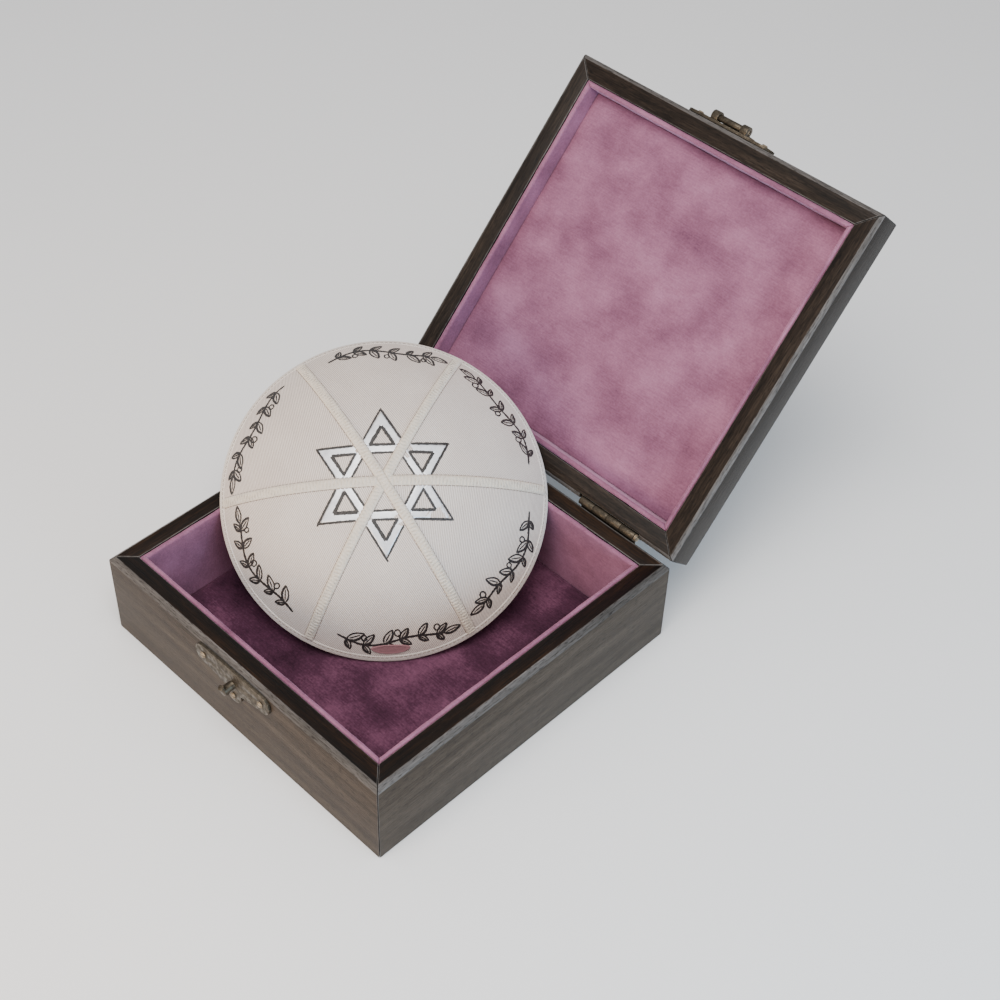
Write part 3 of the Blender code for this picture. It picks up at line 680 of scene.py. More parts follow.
def dome_point(slope, azimuth, lift):
    """A point by its slope from the crown, its direction, and its lift off the dome."""
    radius = DOME_RADIUS + lift
    across = radius * math.sin(slope)
    up = radius * math.cos(slope) + KIPPAH_HEIGHT - DOME_RADIUS
    return KIPPAH @ Vector((across * math.cos(azimuth), across * math.sin(azimuth), up))


def sag(slope, azimuth):
    """How far the cloth lies below the dome between two seams."""
    across = 2 * (((azimuth - SEAM_TURN) / GORE) % 1.0) - 1
    share = min(max(slope / PANEL_END, 0.0), 1.0)
    return CLOTH_INSET + PANEL_SAG * (1 - across**2) * math.sin(math.pi * share)


def cloth_point(along, azimuth, lift=0.0):
    """A point on the cloth, by its distance from the crown and its direction."""
    slope = along / DOME_RADIUS
    return dome_point(slope, azimuth, lift - sag(slope, azimuth))


def seam_point(along, beside, azimuth, lift):
    """A point by its distance along a seam and beside it."""
    ahead = Vector((math.cos(azimuth), math.sin(azimuth), 0))
    left = Vector((-math.sin(azimuth), math.cos(azimuth), 0))
    slope, lean = along / DOME_RADIUS, beside / DOME_RADIUS
    way = (ahead * math.sin(slope) + Vector((0, 0, 1)) * math.cos(slope)) * math.cos(lean)
    way += left * math.sin(lean)
    return KIPPAH @ (way * (DOME_RADIUS + lift) + Vector((0, 0, KIPPAH_HEIGHT - DOME_RADIUS)))


print("crown at, mm:", [round(1000 * value, 1) for value in cloth_point(0, 0)])

# %% [markdown]
# ## Twill finish
#
# Twill is the weave of fine trousers: each thread passes over two and steps one aside, so the surface shows
# slanted ribs called wales. The ribs must follow each panel's own cut, so every panel carries an attribute
# with its flat pattern coordinates in millimetres, already turned to the run of its wales. A wave across
# them gives the ribs, and a finer broken wave along them gives the thread floats.

# %% Twill finish
WALE = 0.95              # mm from rib to rib
FLOAT_LENGTH = 0.62      # mm from thread to thread along a rib
FLOAT_SLANT = math.radians(62)
RIB_DRIFT = 0.05
WAVE_UNIT = math.pi / 10  # at scale 1 the wave texture repeats every pi / 10 units


def flat_place(tree):
    """The flat pattern coordinates of a piece of cloth, in millimetres."""
    return add_node(tree, "Attribute", attribute_name="weave").outputs["Vector"]


def ribbing(tree, vector, scale, distortion, detail, direction="X", detail_scale=1.0):
    """A slightly uneven row of ribs between 0 and 1."""
    sockets = {
        "Vector": vector, "Scale": scale, "Distortion": distortion,
        "Detail": detail, "Detail Scale": detail_scale,
    }
    return add_node(tree, "TexWave", sockets, bands_direction=direction).outputs["Fac"]


def twill_finish(name, dark, light):
    """Twill in the tones from its gaps to the tops of its ribs."""
    material, tree, shader = start_finish(name, 0.88)
    weave = flat_place(tree)
    ribs_place = add_node(tree, "Mapping", {"Vector": weave, "Scale": (1 / WALE, RIB_DRIFT, 1)}).outputs[0]
    ribs = ribbing(tree, ribs_place, WAVE_UNIT, 0.9, 2.0, detail_scale=1.5)
    slanted = add_node(tree, "Mapping", {"Vector": weave, "Rotation": (0, 0, FLOAT_SLANT)}).outputs[0]
    floats = ribbing(tree, slanted, WAVE_UNIT / FLOAT_LENGTH, 0.6, 1.0)
    slubs = speckle(tree, weave, 0.9, 3.0)
    clouds = speckle(tree, weave, 0.045, 2.0)
    height = weigh(tree, (ribs, 0.72), (floats, 0.28))
    tone = weigh(tree, (height, 0.75), (slubs, 0.25))
    colour = blend_colours(tree, tone, [(0.12, dark), (0.72, light)])
    shade = blend_colours(tree, clouds, [(0.3, (0.93, 0.92, 0.92)), (0.7, (1, 1, 1))])
    wire(tree, tint(tree, colour, shade), shader.inputs["Base Color"])
    set_shader(shader, Sheen_Weight=0.15, Sheen_Roughness=0.5, Specular_IOR_Level=0.2)
    raise_surface(tree, shader, height, 0.00016, 0.9)
    return material


twill = twill_finish("twill", (0.36, 0.285, 0.240), (0.78, 0.700, 0.640))
print("wales per 10 mm:", round(10 / WALE, 1))

# %% [markdown]
# ## Six panels
#
# Each panel is a gore: a wedge of cloth cut so that six of them close into a dome. It is one curved sheet,
# bent from a grid and given the cloth's thickness afterwards, and it runs a little way into the hem.

# %% Panels
PANEL_COLUMNS = 44
PANEL_ROWS = 64
INTO_HEM = 0.0012
CROWN_START = 0.0006
PUCKER = 0.00010
PUCKER_PITCH = 0.0042
PUCKER_FADE = 22
RIPPLE = 0.00012
RIPPLE_PITCH = 55
SEAM_EDGE = 1e-6         # radians that keep a panel's edge on its own side of the seam
WALE_DIRECTIONS = (128, 125, 103, 116, 124, 84)    # degrees, panel by panel from the first seam


def set_weave(item, flat, direction):
    """Stores the flat pattern coordinates in millimetres, turned so that the wales run along Y."""
    store = item.data.attributes.new("weave", "FLOAT_VECTOR", "POINT")
    sine, cosine = math.sin(direction), math.cos(direction)
    for number, (x, y) in enumerate(flat):
        store.data[number].vector = (1000 * (x * sine - y * cosine), 1000 * (x * cosine + y * sine), 0)


def face_crown(item):
    """Turns the faces of a sheet to the outer side of the dome."""
    if sum(face.normal.dot(crown_way) for face in item.data.polygons) < 0:
        item.data.flip_normals()


def make_panel(number):
    """One gore of twill between two seams."""
    start = SEAM_TURN + number * GORE
    flat = []

    def place(across, share):
        along = CROWN_START + (PANEL_END * DOME_RADIUS + INTO_HEM - CROWN_START) * share
        azimuth = start + across * GORE
        flat.append((along * math.cos(azimuth), along * math.sin(azimuth)))
        near_seam = math.exp(-min(across, 1 - across) * GORE * math.sin(along / DOME_RADIUS) * PUCKER_FADE)
        gather = PUCKER * near_seam * math.sin(2 * math.pi * along / PUCKER_PITCH + number)
        ripple = RIPPLE * noise.noise(Vector((*flat[-1], number)) * RIPPLE_PITCH)
        inside = min(max(azimuth, start + SEAM_EDGE), start + GORE - SEAM_EDGE)
        return cloth_point(along, inside, gather + ripple)

    item = bent_grid("panel_%d_twill" % (number + 1), PANEL_COLUMNS, PANEL_ROWS, place)
    set_weave(item, flat, math.radians(WALE_DIRECTIONS[number]))
    face_crown(item)
    thicken(item, CLOTH)
    item.data.materials.append(twill)
    bpy.ops.object.shade_smooth_by_angle(angle=math.radians(60))
    hand_over(item, "box", "cloth", "panel_%d" % (number + 1))
    return item


panels = [make_panel(number) for number in range(PANELS)]

# %% [markdown]
# ## Threads
#
# All sewing is modelled, because it is what the eye looks for on a hand-made cap. A thread is a thin tube
# through a few points. Stitches are the same tube, short, with both ends diving into the cloth. Each row of
# stitches is one mesh, so hundreds of them stay easy to handle.

# %% Thread helpers
THREAD_SIDES = 5
STITCH_STEPS = 3


def join_rings(bm, rings):
    """Closes a row of equal rings of points into one solid skin."""
    sides = len(rings[0])
    for first, second in zip(rings, rings[1:]):
        for side in range(sides):
            after = (side + 1) % sides
            bm.faces.new((first[side], first[after], second[after], second[side]))
    bm.faces.new(list(reversed(rings[0])))
    bm.faces.new(rings[-1])


def sweep_tube(bm, points, radius):
    """Adds a round tube through points, closed at both ends."""
    rings = []
    for number, point in enumerate(points):
        ahead = points[min(number + 1, len(points) - 1)] - points[max(number - 1, 0)]
        ahead.normalize()
        left = crown_way.cross(ahead).normalized()
        up = ahead.cross(left)
        ring_verts = []
        for side in range(THREAD_SIDES):
            angle = 2 * math.pi * side / THREAD_SIDES
            way = left * math.cos(angle) + up * math.sin(angle)
            ring_verts.append(bm.verts.new(point + radius * way))
        rings.append(ring_verts)
    join_rings(bm, rings)


def finish_mesh(bm, name, material, smooth=True):
    """Turns a bmesh into an object with one finish and outward faces."""
    bmesh.ops.recalc_face_normals(bm, faces=bm.faces)
    mesh = bpy.data.meshes.new(name)
    bm.to_mesh(mesh)
    bm.free()
    mesh.materials.append(material)
    if smooth:
        mesh.shade_smooth()
    item = bpy.data.objects.new(name, mesh)
    bpy.context.scene.collection.objects.link(item)
    return item


def stitch_row(bm, place, start, end, pitch, length, radius, bow):
    """Running stitches along a line: place gives the point for a distance and a lift."""
    count = int((end - start) / pitch)
    for number in range(count):
        first = start + (number + 0.5) * (end - start) / count - length / 2
        points = []
        for step in range(STITCH_STEPS + 1):
            share = step / STITCH_STEPS
            points.append(place(first + length * share, bow * math.sin(math.pi * share) - radius * 0.5))
        sweep_tube(bm, points, radius)


def thread_finish(name, dark, light):
    """Sewing thread with the mottle of its twist."""
    material, tree, shader = start_finish(name, 0.7)
    twist = speckle(tree, object_place(tree), 2600.0, 2.0)
    wire(tree, blend_colours(tree, twist, [(0.3, dark), (0.7, light)]), shader.inputs["Base Color"])
    set_shader(shader, Sheen_Weight=0.2)
    raise_surface(tree, shader, twist, 0.00008, 0.6)
    return material


brown_thread = thread_finish("brown_thread", (0.13, 0.085, 0.060), (0.30, 0.215, 0.165))
cream_thread = thread_finish("cream_thread", (0.62, 0.55, 0.46), (0.82, 0.77, 0.70))
print("threads:", brown_thread.name, cream_thread.name)

# %% [markdown]
# ## Seam tapes
#
# A narrow ribbed tape hides each seam. One tape runs unbroken over the crown, and the four others are cut
# to a point where they meet it. The cross ribs are real: the grid is fine enough along the tape to carry
# them. A zigzag thread holds the tape, and brown stitches run down both of its edges.

# %% Seam tapes
RIB_PITCH = 0.0018
RIB_HEIGHT = 0.00018
TAPE_TOP = 0.00062
TAPE_FOOT = 0.00035
TAPE_COLUMNS = 12
STEPS_PER_RIB = 5
CROWN_SEAM = 2
ZIGZAG_PITCH = 0.0020
ZIGZAG_REACH = 0.36
ZIGZAG_RADIUS = 0.00017
TAPE_CORD = 0.45         # mm between the fine cords of the tape
TAPE_EDGE = 0.0001
TAPE_END = PANEL_END * DOME_RADIUS + 0.0004


def tape_finish():
    """Cream tape with fine cords across it."""
    material, tree, shader = start_finish("tape_cream", 0.8)
    along = flat_place(tree)
    cords = ribbing(tree, along, WAVE_UNIT / TAPE_CORD, 0.5, 1.0, "Y")
    fuzz = speckle(tree, along, 2.2, 3.0)
    tone = weigh(tree, (cords, 0.5), (fuzz, 0.5))
    stops = [(0.2, (0.50, 0.42, 0.33)), (0.75, (0.80, 0.72, 0.62))]
    wire(tree, blend_colours(tree, tone, stops), shader.inputs["Base Color"])
    set_shader(shader, Sheen_Weight=0.25, Specular_IOR_Level=0.25)
    raise_surface(tree, shader, tone, 0.00010, 0.8)
    return material


tape_cream = tape_finish()


def tape_start(towards):
    """Where a half tape begins on its side of the crown: beside the crown tape and its neighbour."""
    half = TAPE_WIDTH / 2
    by_crown = (half + towards * math.cos(GORE)) / math.sin(GORE)
    by_neighbour = -towards / math.tan(GORE / 2)
    return max(by_crown, by_neighbour)


def tape_lift(across, along):
    """The tape's section: nearly flat, falling at both edges, ribbed along its length."""
    round_off = 1 - abs(2 * across - 1) ** 5
    rib = RIB_HEIGHT * math.sin(2 * math.pi * along / RIB_PITCH) * round_off
    return -TAPE_EDGE + (TAPE_TOP + TAPE_EDGE) * round_off + rib


def make_tape(name, node, azimuth, start_of):
    """One tape. start_of gives the distance at which it begins for a place across its width."""
    rows = int((TAPE_END - start_of(0)) / RIB_PITCH * STEPS_PER_RIB)
    flat = []

    def place(across, share):
        beside = (across - 0.5) * TAPE_WIDTH
        start = start_of(beside)
        along = start + (TAPE_END - start) * share
        flat.append((beside, along))
        return seam_point(along, beside, azimuth, tape_lift(across, along))

    item = bent_grid(name, TAPE_COLUMNS, rows, place)
    set_weave(item, flat, math.pi / 2)
    face_crown(item)
    thicken(item, TAPE_FOOT)
    item.data.materials.append(tape_cream)
    bpy.ops.object.shade_smooth_by_angle(angle=math.radians(60))
    hand_over(item, "box", "tape", node)


opposite = CROWN_SEAM + PANELS // 2
seams = [number for number in range(PANELS) if number not in (CROWN_SEAM, opposite)]
make_tape(
    "seam_tape_crown_ribbed", "seam_tape_crown", SEAM_TURN + CROWN_SEAM * GORE, lambda beside: -TAPE_END,
)
for count, number in enumerate(seams):
    crown_side = 1 if (number + 1) % PANELS in (CROWN_SEAM, opposite) else -1
    node = "seam_tape_%d" % (count + 1)
    make_tape(
        node + "_ribbed", node, SEAM_TURN + number * GORE,
        lambda beside, side=crown_side: tape_start(beside * side),
    )
print("tapes:", 1 + len(seams))

# %% [markdown]
# ## Sewing on the tapes
#
# A real tape is held by stitches, and they pull it into small cushions. The zigzag goes down one seam from
# side to side, and the running stitches go through the cloth just beside both edges.

# %% Thread on the tapes
ZIGZAG_LIFT = 0.00006
STITCH_BOW = 0.0001
STITCH_PITCH, STITCH_LENGTH, STITCH_RADIUS = 0.0021, 0.0015, 0.00019
BESIDE_TAPE = TAPE_WIDTH / 2 + 0.00012
STITCH_LEVEL = 0.00008 - CLOTH_INSET


def sew_tape(number):
    """The zigzag over one half seam, and the running stitches down both sides of its tape."""
    azimuth = SEAM_TURN + number * GORE
    on_crown_tape = number in (CROWN_SEAM, opposite)
    start = 0.0005 if on_crown_tape else TAPE_WIDTH * 0.62
    end = PANEL_END * DOME_RADIUS - 0.0006
    zigzag = bmesh.new()
    points = []
    turns = int((end - start) / ZIGZAG_PITCH * 2)
    for turn in range(turns):
        along = start + (end - start) * turn / (turns - 1)
        side = 1 if turn % 2 else -1
        beside = side * ZIGZAG_REACH * TAPE_WIDTH
        points.append(seam_point(along, beside, azimuth, TAPE_TOP + ZIGZAG_LIFT))
    sweep_tube(zigzag, points, ZIGZAG_RADIUS)
    thread = finish_mesh(zigzag, "zigzag_%d" % (number + 1), cream_thread)
    hand_over(thread, "box", "tape")
    clear = start if on_crown_tape else start + TAPE_WIDTH * 0.3
    rows = bmesh.new()
    for side in (-1, 1):

        def place(along, lift, beside=side * BESIDE_TAPE):
            return seam_point(along, beside, azimuth, lift + STITCH_LEVEL)

        stitch_row(rows, place, clear, end, STITCH_PITCH, STITCH_LENGTH, STITCH_RADIUS, STITCH_BOW)
    stitches = finish_mesh(rows, "tape_stitches_%d" % (number + 1), brown_thread)
    hand_over(stitches, "box", "tape")


for number in range(PANELS):
    sew_tape(number)
print("sewn seams:", PANELS)

# %% [markdown]
# ## Bound edge
#
# The hem is a strip of the same cloth folded over the raw edge of all six panels. Its section is a flat
# rounded band. A grid wraps once round that section and once round the cap, and small dents follow the
# stitches, because thread pulls cloth down.

# %% Binding
HEM_STEPS = 540
HEM_ROUND = 28
HEM_CORNER = 0.42        # below 1 the section is squarer than an ellipse
HEM_PITCH, HEM_STITCH_LENGTH, HEM_STITCH_RADIUS = 0.0024, 0.0015, 0.00020
HEM_STITCH_AT = 0.0029
HEM_DENT = 0.00010
HEM_DENT_WIDTH = 0.0006
HEM_RIPPLE = 0.00006
HEM_STITCH_SINK = 0.00004


def hem_section(share):
    """Round the band's section: distance above the edge, and lift off the dome."""
    half_width, half_thickness = BINDING_WIDTH / 2, BINDING_THICKNESS / 2
    angle = 2 * math.pi * share
    wide = math.copysign(abs(math.cos(angle)) ** HEM_CORNER, math.cos(angle))
    thick = math.copysign(abs(math.sin(angle)) ** HEM_CORNER, math.sin(angle))
    return half_width + half_width * wide, -half_thickness + half_thickness * thick


HEM_LENGTH = 2 * math.pi * KIPPAH_RADIUS
stitch_count = int(HEM_LENGTH / HEM_PITCH)
hem_flat = []


def hem_place(share_round, share):
    """A point of the band by its shares round the cap and round the section."""
    azimuth = 2 * math.pi * share_round
    above, lift = hem_section(share)
    outside = lift > -BINDING_THICKNESS / 2
    near_row = math.exp(-(((above - HEM_STITCH_AT) / HEM_DENT_WIDTH) ** 2)) if outside else 0
    dent = HEM_DENT * near_row * (1 + math.cos(stitch_count * azimuth)) / 2
    ripple = HEM_RIPPLE * noise.noise(Vector((math.cos(azimuth), math.sin(azimuth), above * 40)) * 9)
    hem_flat.append((azimuth * KIPPAH_RADIUS, above + lift))
    return dome_point((ARC - above) / DOME_RADIUS, azimuth, lift - dent + ripple)


hem = bent_grid("edge_binding_folded", HEM_STEPS, HEM_ROUND, hem_place)
set_weave(hem, hem_flat, math.radians(60))
close_up(hem)
hem.data.materials.append(twill_finish("twill_hem", (0.58, 0.51, 0.45), (0.78, 0.72, 0.66)))
hem.data.shade_smooth()
hand_over(hem, "box", "cloth", "edge_binding")

hem_rows = bmesh.new()


def hem_stitch_place(distance, lift):
    """A point on the stitch line by its distance round the edge and its lift."""
    slope = (ARC - HEM_STITCH_AT) / DOME_RADIUS
    return dome_point(slope, distance / KIPPAH_RADIUS, lift - HEM_STITCH_SINK)


stitch_row(
    hem_rows, hem_stitch_place, 0, HEM_LENGTH, HEM_PITCH, HEM_STITCH_LENGTH, HEM_STITCH_RADIUS, STITCH_BOW,
)
hem_stitches = finish_mesh(hem_rows, "hem_stitches", brown_thread)
hand_over(hem_stitches, "box", "cloth")
print("stitches in the hem:", stitch_count)

# %% [markdown]
# ## The cloth as flat sheets
#
# A panel is cut from flat cloth, as wide as a sixth of the edge and as long as the way from crown to hem.

# %% [markdown]
# ## Ink and silver
#
# The star is a traditional six-pointed one, drawn in silver paint with black outlines, one point to each
# panel. Ink soaks in, but a drawn line also stands up a hair, so the strokes are real ribbons that follow
# the cloth. Their width wanders and their ends thin out, as a brush pen's do. The random wandering is
# seeded, so the drawing is the same every time.

# %% Ink and silver finishes
INK_LIFT = 0.00010
INK_FOOT = 0.00012
INK_STEP = 0.0008
PAINT_LIFT = 0.00004
PAINT_COAT = 0.00012


def ink_finish():
    """Black ink that dried unevenly."""
    material, tree, shader = start_finish("black_ink", 0.55)
    dry = speckle(tree, object_place(tree), 1500.0, 2.0)
    stops = [(0.35, (0.006, 0.005, 0.005)), (0.75, (0.055, 0.048, 0.045))]
    wire(tree, blend_colours(tree, dry, stops), shader.inputs["Base Color"])
    raise_surface(tree, shader, dry, 0.00005, 0.5)
    return material


def silver_finish():
    """Silver paint with brush streaks and metal grains."""
    material, tree, shader = start_finish("silver_paint", 0.34, 0.35)
    brushed = speckle(tree, object_place(tree), 160.0, 3.0)
    grains = speckle(tree, object_place(tree), 2400.0, 2.0)
    tone = weigh(tree, (brushed, 0.6), (grains, 0.4))
    stops = [(0.3, (0.62, 0.62, 0.65)), (0.55, (0.90, 0.90, 0.92)), (0.8, (0.97, 0.97, 0.98))]
    wire(tree, blend_colours(tree, tone, stops), shader.inputs["Base Color"])
    raise_surface(tree, shader, grains, 0.00006, 0.6)
    return material


black_ink = ink_finish()
silver_paint = silver_finish()
print("paints:", black_ink.name, silver_paint.name)

# %% [markdown]
# ## Strokes and patches
#
# A stroke is a flat ribbon with a foot in the cloth. A patch of paint is a small grid. Both are drawn in
# flat lengths first, and a function then lays each of their points on the sagging cloth.

# %% Strokes


def walk_path(path, step):
    """Points spaced evenly along a path of corners."""
    points = [Vector(path[0])]
    for start, end in zip(path, path[1:]):
        start, end = Vector(start), Vector(end)
        count = max(1, round((end - start).length / step))
        for number in range(1, count + 1):
            points.append(start.lerp(end, number / count))
    return points


def draw_stroke(bm, path, width, place, pen, taper=True):
    """Adds one ink stroke. The path is flat, and place carries a flat point and a lift to the cloth."""
    points = walk_path(path, INK_STEP)
    loops = []
    last = len(points) - 1
    for number, point in enumerate(points):
        ahead = points[min(number + 1, last)] - points[max(number - 1, 0)]
        aside = Vector((-ahead.y, ahead.x)).normalized()
        thin = min(1.0, 0.45 + 0.4 * min(number, last - number)) if taper else 1.0
        half = width / 2 * thin * pen.uniform(0.82, 1.15)
        drift = width * 0.06 * pen.uniform(-1, 1)
        left, right = point + aside * (half + drift), point - aside * (half - drift)
        corners = ((left, INK_LIFT), (right, INK_LIFT), (right, -INK_FOOT), (left, -INK_FOOT))
        loops.append([bm.verts.new(place(flat, lift)) for flat, lift in corners])
    join_rings(bm, loops)


def draw_patch(bm, corners, columns, rows, place):
    """A painted patch between four flat corners, in small faces that follow the cloth."""
    first, second, third, fourth = (Vector(corner) for corner in corners)
    grid = []
    for row in range(rows + 1):
        up = row / rows
        line = []
        for column in range(columns + 1):
            over = column / columns
            flat = first.lerp(second, over).lerp(fourth.lerp(third, over), up)
            line.append(bm.verts.new(place(flat, PAINT_LIFT)))
        grid.append(line)
    for low, high in zip(grid, grid[1:]):
        for column in range(columns):
            bm.faces.new((low[column], low[column + 1], high[column + 1], high[column]))


print("stroke step, mm:", 1000 * INK_STEP)

# %% [markdown]
# ## The star
#
# A six-pointed star is two triangles. Its points reach twice as far as the flat sides of its inner hexagon,
# and its inner corners fall on the seams. One point is drawn in each panel: two outer lines, the small
# triangle that stays bare, the silver between them, and the line on the side of the crown.

# %% Star
STAR_REACH = 0.0385
STAR_BAND = 0.0043
STAR_OUTLINE = 0.0011
STAR_INNER = 0.0017
TAPE_CLEAR = TAPE_WIDTH / 2 + 0.0006
HALF_POINT = math.radians(30)
LEG_FACES = (18, 5)
BASE_FACES = (20, 5)
WOBBLE = 0.0003
slant = math.tan(HALF_POINT)


def panel_place(number):
    """A function that carries a flat point of one panel, ahead and aside of the crown, to the cloth."""
    middle_way = SEAM_TURN + (number + 0.5) * GORE

    def place(flat, lift):
        return cloth_point(flat.length, middle_way + math.atan2(flat.y, flat.x), lift)

    return place


def draw_star_point(ink, silver, number):
    """One point of the star: its silver, its two outer lines, its bare triangle and its base."""
    pen = random.Random(100 + number)
    place = panel_place(number)
    base = STAR_REACH / 2
    corner = base * slant
    inset = STAR_BAND / math.cos(HALF_POINT)
    hole_tip = (STAR_REACH - 2 * STAR_BAND, 0)
    hole_side = corner - inset
    bottom = base - STAR_BAND
    bottom_side = bottom * slant
    for side in (-1, 1):
        leg_patch = [(STAR_REACH, 0), (base, side * corner), (base, side * hole_side), hole_tip]
        draw_patch(silver, leg_patch, *LEG_FACES, place)
    base_patch = [(base, -corner), (base, corner), (bottom, bottom_side), (bottom, -bottom_side)]
    draw_patch(silver, base_patch, *BASE_FACES, place)
    clear = TAPE_CLEAR / math.cos(HALF_POINT)
    for side in (-1, 1):
        stop = base + (STAR_REACH - base) * 0.16
        jog = pen.uniform(0.0006, 0.0024)
        over = pen.uniform(0.0, 0.6) * jog
        outer = [
            (STAR_REACH + jog, -side * over * 0.55),
            (stop, side * (STAR_REACH - stop) * slant + side * pen.uniform(0, WOBBLE)),
        ]
        draw_stroke(ink, outer, STAR_OUTLINE * pen.uniform(0.9, 1.3), place, pen)
        leg = [hole_tip, (base, side * hole_side)]
        draw_stroke(ink, leg, STAR_INNER * pen.uniform(0.8, 1.15), place, pen, False)
    over_base = hole_side + 0.0004
    base_line = [(base, -over_base), (base + pen.uniform(-WOBBLE, WOBBLE), over_base)]
    draw_stroke(ink, base_line, STAR_INNER * pen.uniform(0.7, 1.0), place, pen, False)
    reach = bottom_side - clear * 0.75
    inner_line = [(bottom, -reach), (bottom + pen.uniform(-WOBBLE, WOBBLE), reach)]
    draw_stroke(ink, inner_line, STAR_OUTLINE * 1.1, place, pen)


star_ink, star_silver = bmesh.new(), bmesh.new()
for number in range(PANELS):
    draw_star_point(star_ink, star_silver, number)
bmesh.ops.remove_doubles(star_silver, verts=star_silver.verts, dist=0.00002)
star_lines = finish_mesh(star_ink, "star_outlines", black_ink, False)
hand_over(star_lines, "box", "cloth")
star_band = finish_mesh(star_silver, "star_silver", silver_paint)
face_crown(star_band)
thicken(star_band, PAINT_COAT)
hand_over(star_band, "box", "cloth")
print("star across its points, mm:", round(2000 * STAR_REACH))

# %% [markdown]
# ## The border
#
# Round the edge runs a border of ink drawings. Here it is olive sprigs: a bent stem with outlined leaves
# and small fruit, a different sprig in each panel but all from one rule. The stem is a sine curve, leaves
# leave it in pairs, and each leaf is two bowed strokes and a rib.

# %% Border sprigs
BORDER_MIDDLE = 0.0128
SPRIG_REACH = 0.0275
STEM_BEND = 0.0022
STEM_WAVES = 1.2
STEM_STEPS = 30
LEAF_PAIRS = 6
LEAF_LENGTH = 0.0094
LEAF_WIDTH = 0.0038
LEAF_STEPS = 7
FRUIT_RADIUS = 0.0016
FRUIT_STALK = 0.0042
FRUIT_STEPS = 8
INK_THICK = 0.00135
INK_THIN = 0.00090
RIM_RADIUS = DOME_RADIUS * math.sin((ARC - BORDER_MIDDLE) / DOME_RADIUS)


def border_place(number):
    """Carries a point by its distance round the edge and its distance above the edge to the cloth."""
    middle_way = SEAM_TURN + (number + 0.5) * GORE

    def place(flat, lift):
        return cloth_point(ARC - flat.y, middle_way + flat.x / RIM_RADIUS, lift)

    return place


def leaf_side(root, way, length, width, side):
    """One bowed edge of a leaf, from its root to its tip."""
    aside = Vector((-way.y, way.x)) * side
    path = []
    for step in range(LEAF_STEPS + 1):
        share = step / LEAF_STEPS
        swell = math.sin(math.pi * share ** 0.85) * width / 2
        path.append(root + way * length * share + aside * swell)
    return path


def draw_leaf(ink, root, angle, scale, place, pen):
    """A leaf of two bowed strokes, the shaded one heavier, with its rib."""
    way = Vector((math.cos(angle), math.sin(angle)))
    length, width = LEAF_LENGTH * scale, LEAF_WIDTH * scale
    for side in (-1, 1):
        heavy = INK_THICK if side * math.cos(angle) < 0 else INK_THIN
        draw_stroke(ink, leaf_side(root, way, length, width, side), heavy, place, pen)
    rib = [root + way * length * 0.15, root + way * length * 0.75]
    draw_stroke(ink, rib, INK_THIN * 0.8, place, pen)


def draw_fruit(ink, centre, place, pen):
    """A small outlined olive."""
    radius = FRUIT_RADIUS * pen.uniform(0.8, 1.15)
    path = []
    for step in range(FRUIT_STEPS + 1):
        angle = 2 * math.pi * step / FRUIT_STEPS + pen.uniform(-0.1, 0.1)
        path.append(centre + Vector((math.cos(angle), math.sin(angle) * 1.2)) * radius)
    draw_stroke(ink, path, INK_THIN, place, pen, False)


def draw_sprig(ink, number):
    """One panel's sprig, mirrored in every second panel."""
    pen = random.Random(40 + number)
    place = border_place(number)
    mirror = -1 if number % 2 else 1
    phase = pen.uniform(0, 2 * math.pi)

    def stem(share):
        x = mirror * SPRIG_REACH * (2 * share - 1)
        y = BORDER_MIDDLE + STEM_BEND * math.sin(2 * math.pi * STEM_WAVES * share + phase)
        return Vector((x, y))

    path = [stem(step / STEM_STEPS) for step in range(STEM_STEPS + 1)]
    draw_stroke(ink, path, INK_THICK, place, pen)
    for pair in range(LEAF_PAIRS):
        share = (pair + 0.6) / LEAF_PAIRS + pen.uniform(-0.012, 0.012)
        root = stem(share)
        onward = stem(share + 0.01) - root
        ahead = math.atan2(onward.y, onward.x)
        for side in (-1, 1):
            angle = ahead + side * mirror * math.radians(pen.uniform(38, 58))
            scale = pen.uniform(0.85, 1.12) * (1.0 if math.sin(angle) > 0 else 0.72)
            draw_leaf(ink, root, angle, scale, place, pen)
        if pair % 2 == 1:
            fruit_way = ahead + mirror * math.radians(92)
            centre = root + Vector((math.cos(fruit_way), math.sin(fruit_way))) * FRUIT_STALK
            draw_stroke(ink, [root, root.lerp(centre, 0.7)], INK_THIN * 0.8, place, pen)
            draw_fruit(ink, centre, place, pen)
    draw_leaf(ink, stem(1.0), 0 if mirror > 0 else math.pi, 1.0, place, pen)


for number in range(PANELS):
    sprig = bmesh.new()
    draw_sprig(sprig, number)
    hand_over(finish_mesh(sprig, "sprig_%d" % (number + 1), black_ink, False), "box", "cloth")
print("sprigs:", PANELS)

# %% [markdown]
# ## The oval label
#
# A small oval of rose satin stitch sits just above the hem. It is left plain. A disc of rings is laid on
# the cloth with a raised rim, which is how a badge is edged, and fine ribs stand for the satin threads.

# %% Label
LABEL_PANEL = 4
LABEL_LENGTH = 0.0208
LABEL_HEIGHT = 0.0058
LABEL_FROM_EDGE = 0.0085
LABEL_RINGS = 14
LABEL_SIDES = 96
LABEL_LIFT = 0.0003575
LABEL_RIM = 0.00022
LABEL_FALL = 0.0005
LABEL_BACKING = 0.0003
SATIN_THREAD = 0.32      # mm between the threads
LABEL_WAY = SEAM_TURN + (LABEL_PANEL + 0.5) * GORE
LABEL_RADIUS = DOME_RADIUS * math.sin((ARC - LABEL_FROM_EDGE) / DOME_RADIUS)


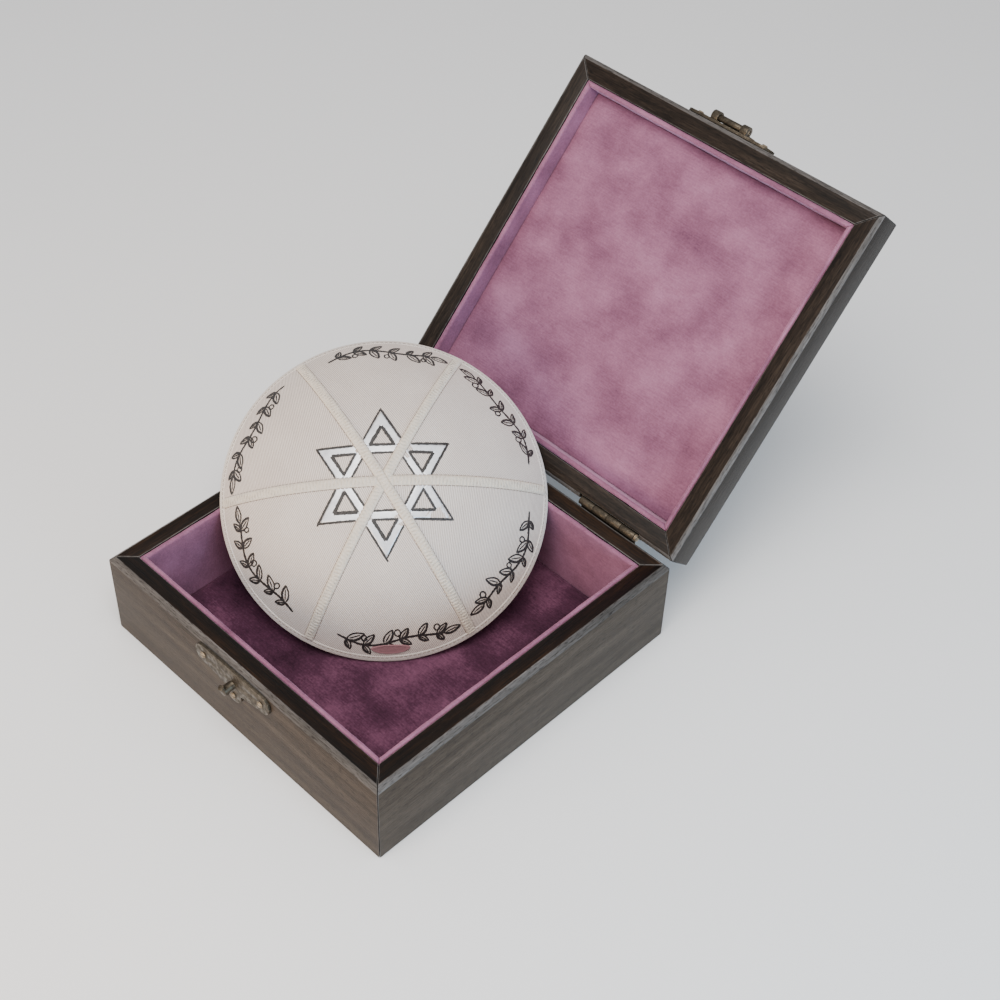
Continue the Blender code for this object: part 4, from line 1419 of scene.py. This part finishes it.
def label_finish():
    """Rose satin stitch."""
    material, tree, shader = start_finish("rose_satin", 0.55)
    threads = ribbing(tree, flat_place(tree), WAVE_UNIT / SATIN_THREAD, 1.2, 2.0)
    stops = [(0.1, (0.20, 0.075, 0.085)), (0.8, (0.42, 0.20, 0.215))]
    wire(tree, blend_colours(tree, threads, stops), shader.inputs["Base Color"])
    set_shader(shader, Sheen_Weight=0.3)
    raise_surface(tree, shader, threads, 0.00012, 0.8)
    return material


label_flat = []


def label_place(turn_share, ring_share):
    """A point of the oval by its shares round it and from its middle to its rim."""
    angle = 2 * math.pi * turn_share
    aside = math.cos(angle) * LABEL_LENGTH / 2 * ring_share
    up = math.sin(angle) * LABEL_HEIGHT / 2 * ring_share
    label_flat.append((aside, up))
    rim = math.exp(-(((ring_share - 0.88) / 0.07) ** 2)) * LABEL_RIM
    fall = LABEL_FALL * max(0.0, (ring_share - 0.95) / 0.05) ** 2
    azimuth = LABEL_WAY + aside / LABEL_RADIUS
    return cloth_point(ARC - LABEL_FROM_EDGE + up, azimuth, LABEL_LIFT + rim - fall)


label = bent_grid("edge_label_satin", LABEL_SIDES, LABEL_RINGS, label_place)
set_weave(label, label_flat, math.radians(75))
close_up(label, False)
face_crown(label)
thicken(label, LABEL_BACKING)
label.data.materials.append(label_finish())
bpy.ops.object.shade_smooth_by_angle(angle=math.radians(60))
hand_over(label, "box", "label", "edge_label")
print("label, mm:", 1000 * LABEL_LENGTH, "by", 1000 * LABEL_HEIGHT)

# %% [markdown]
# ## Antique bronze
#
# Cheap box hardware is cast or stamped and then darkened, and rubbing brings the bright metal back on its
# edges. Two tones are enough: a dark pitted one on the faces and a rubbed one on the bevels, which the
# bevel modifier hands out by itself.

# %% Bronze finish


def bronze_finish(name, dark, light, pits):
    """Cast bronze; the lighter patches are rubbed and shine more."""
    material, tree, shader = start_finish(name, 0.45, 0.85)
    patches = speckle(tree, object_place(tree), 420.0, 4.0)
    grit = speckle(tree, object_place(tree), 2200.0, 2.0)
    tone = weigh(tree, (patches, 0.6), (grit, 0.4))
    wire(tree, blend_colours(tree, tone, [(0.32, dark), (0.68, light)]), shader.inputs["Base Color"])
    worn = blend_colours(tree, patches, [(0.35, (0.62, 0.62, 0.62)), (0.7, (0.30, 0.30, 0.30))])
    wire(tree, worn, shader.inputs["Roughness"])
    raise_surface(tree, shader, tone, pits, 0.9)
    return material


bronze = bronze_finish("bronze_dark", (0.030, 0.024, 0.018), (0.12, 0.098, 0.070), 0.00035)
rubbed = bronze_finish("bronze_rubbed", (0.15, 0.12, 0.085), (0.42, 0.33, 0.23), 0.00012)
print("bronze finishes:", bronze.name, rubbed.name)

# %% [markdown]
# ## Metal parts
#
# The plates, the lever and the hinge leaves are copied and bevelled as the boards were, with a finer
# bevel. Screws and pins are so small that the solids themselves take the rubbed finish.

# %% Metal parts
PLATE_SOFT = 0.00022


def dress_metal(node):
    """A copy of a metal solid with small rubbed bevels."""
    item = merged_copy(node, node + "_cast")
    item.data.materials.append(bronze)
    item.data.materials.append(rubbed)
    soften(item, PLATE_SOFT)
    hand_over(item, BODY_OF[node], "bronze", node)


METAL = [node for node in frame["nodes"] if node.startswith(("clasp_plate", "hasp_plate", "hasp_lever"))]
METAL += [node for node in frame["nodes"] if node.endswith("_leaf")]
for node in METAL:
    dress_metal(node)
SMALL = [node for node in frame["nodes"] if "_screw" in node or node.endswith("_pin")]
for node in SMALL:
    small = frame["nodes"][node]
    small.data.materials.clear()
    small.data.materials.append(rubbed)
print("metal parts:", len(METAL), "screws and pins:", len(SMALL))
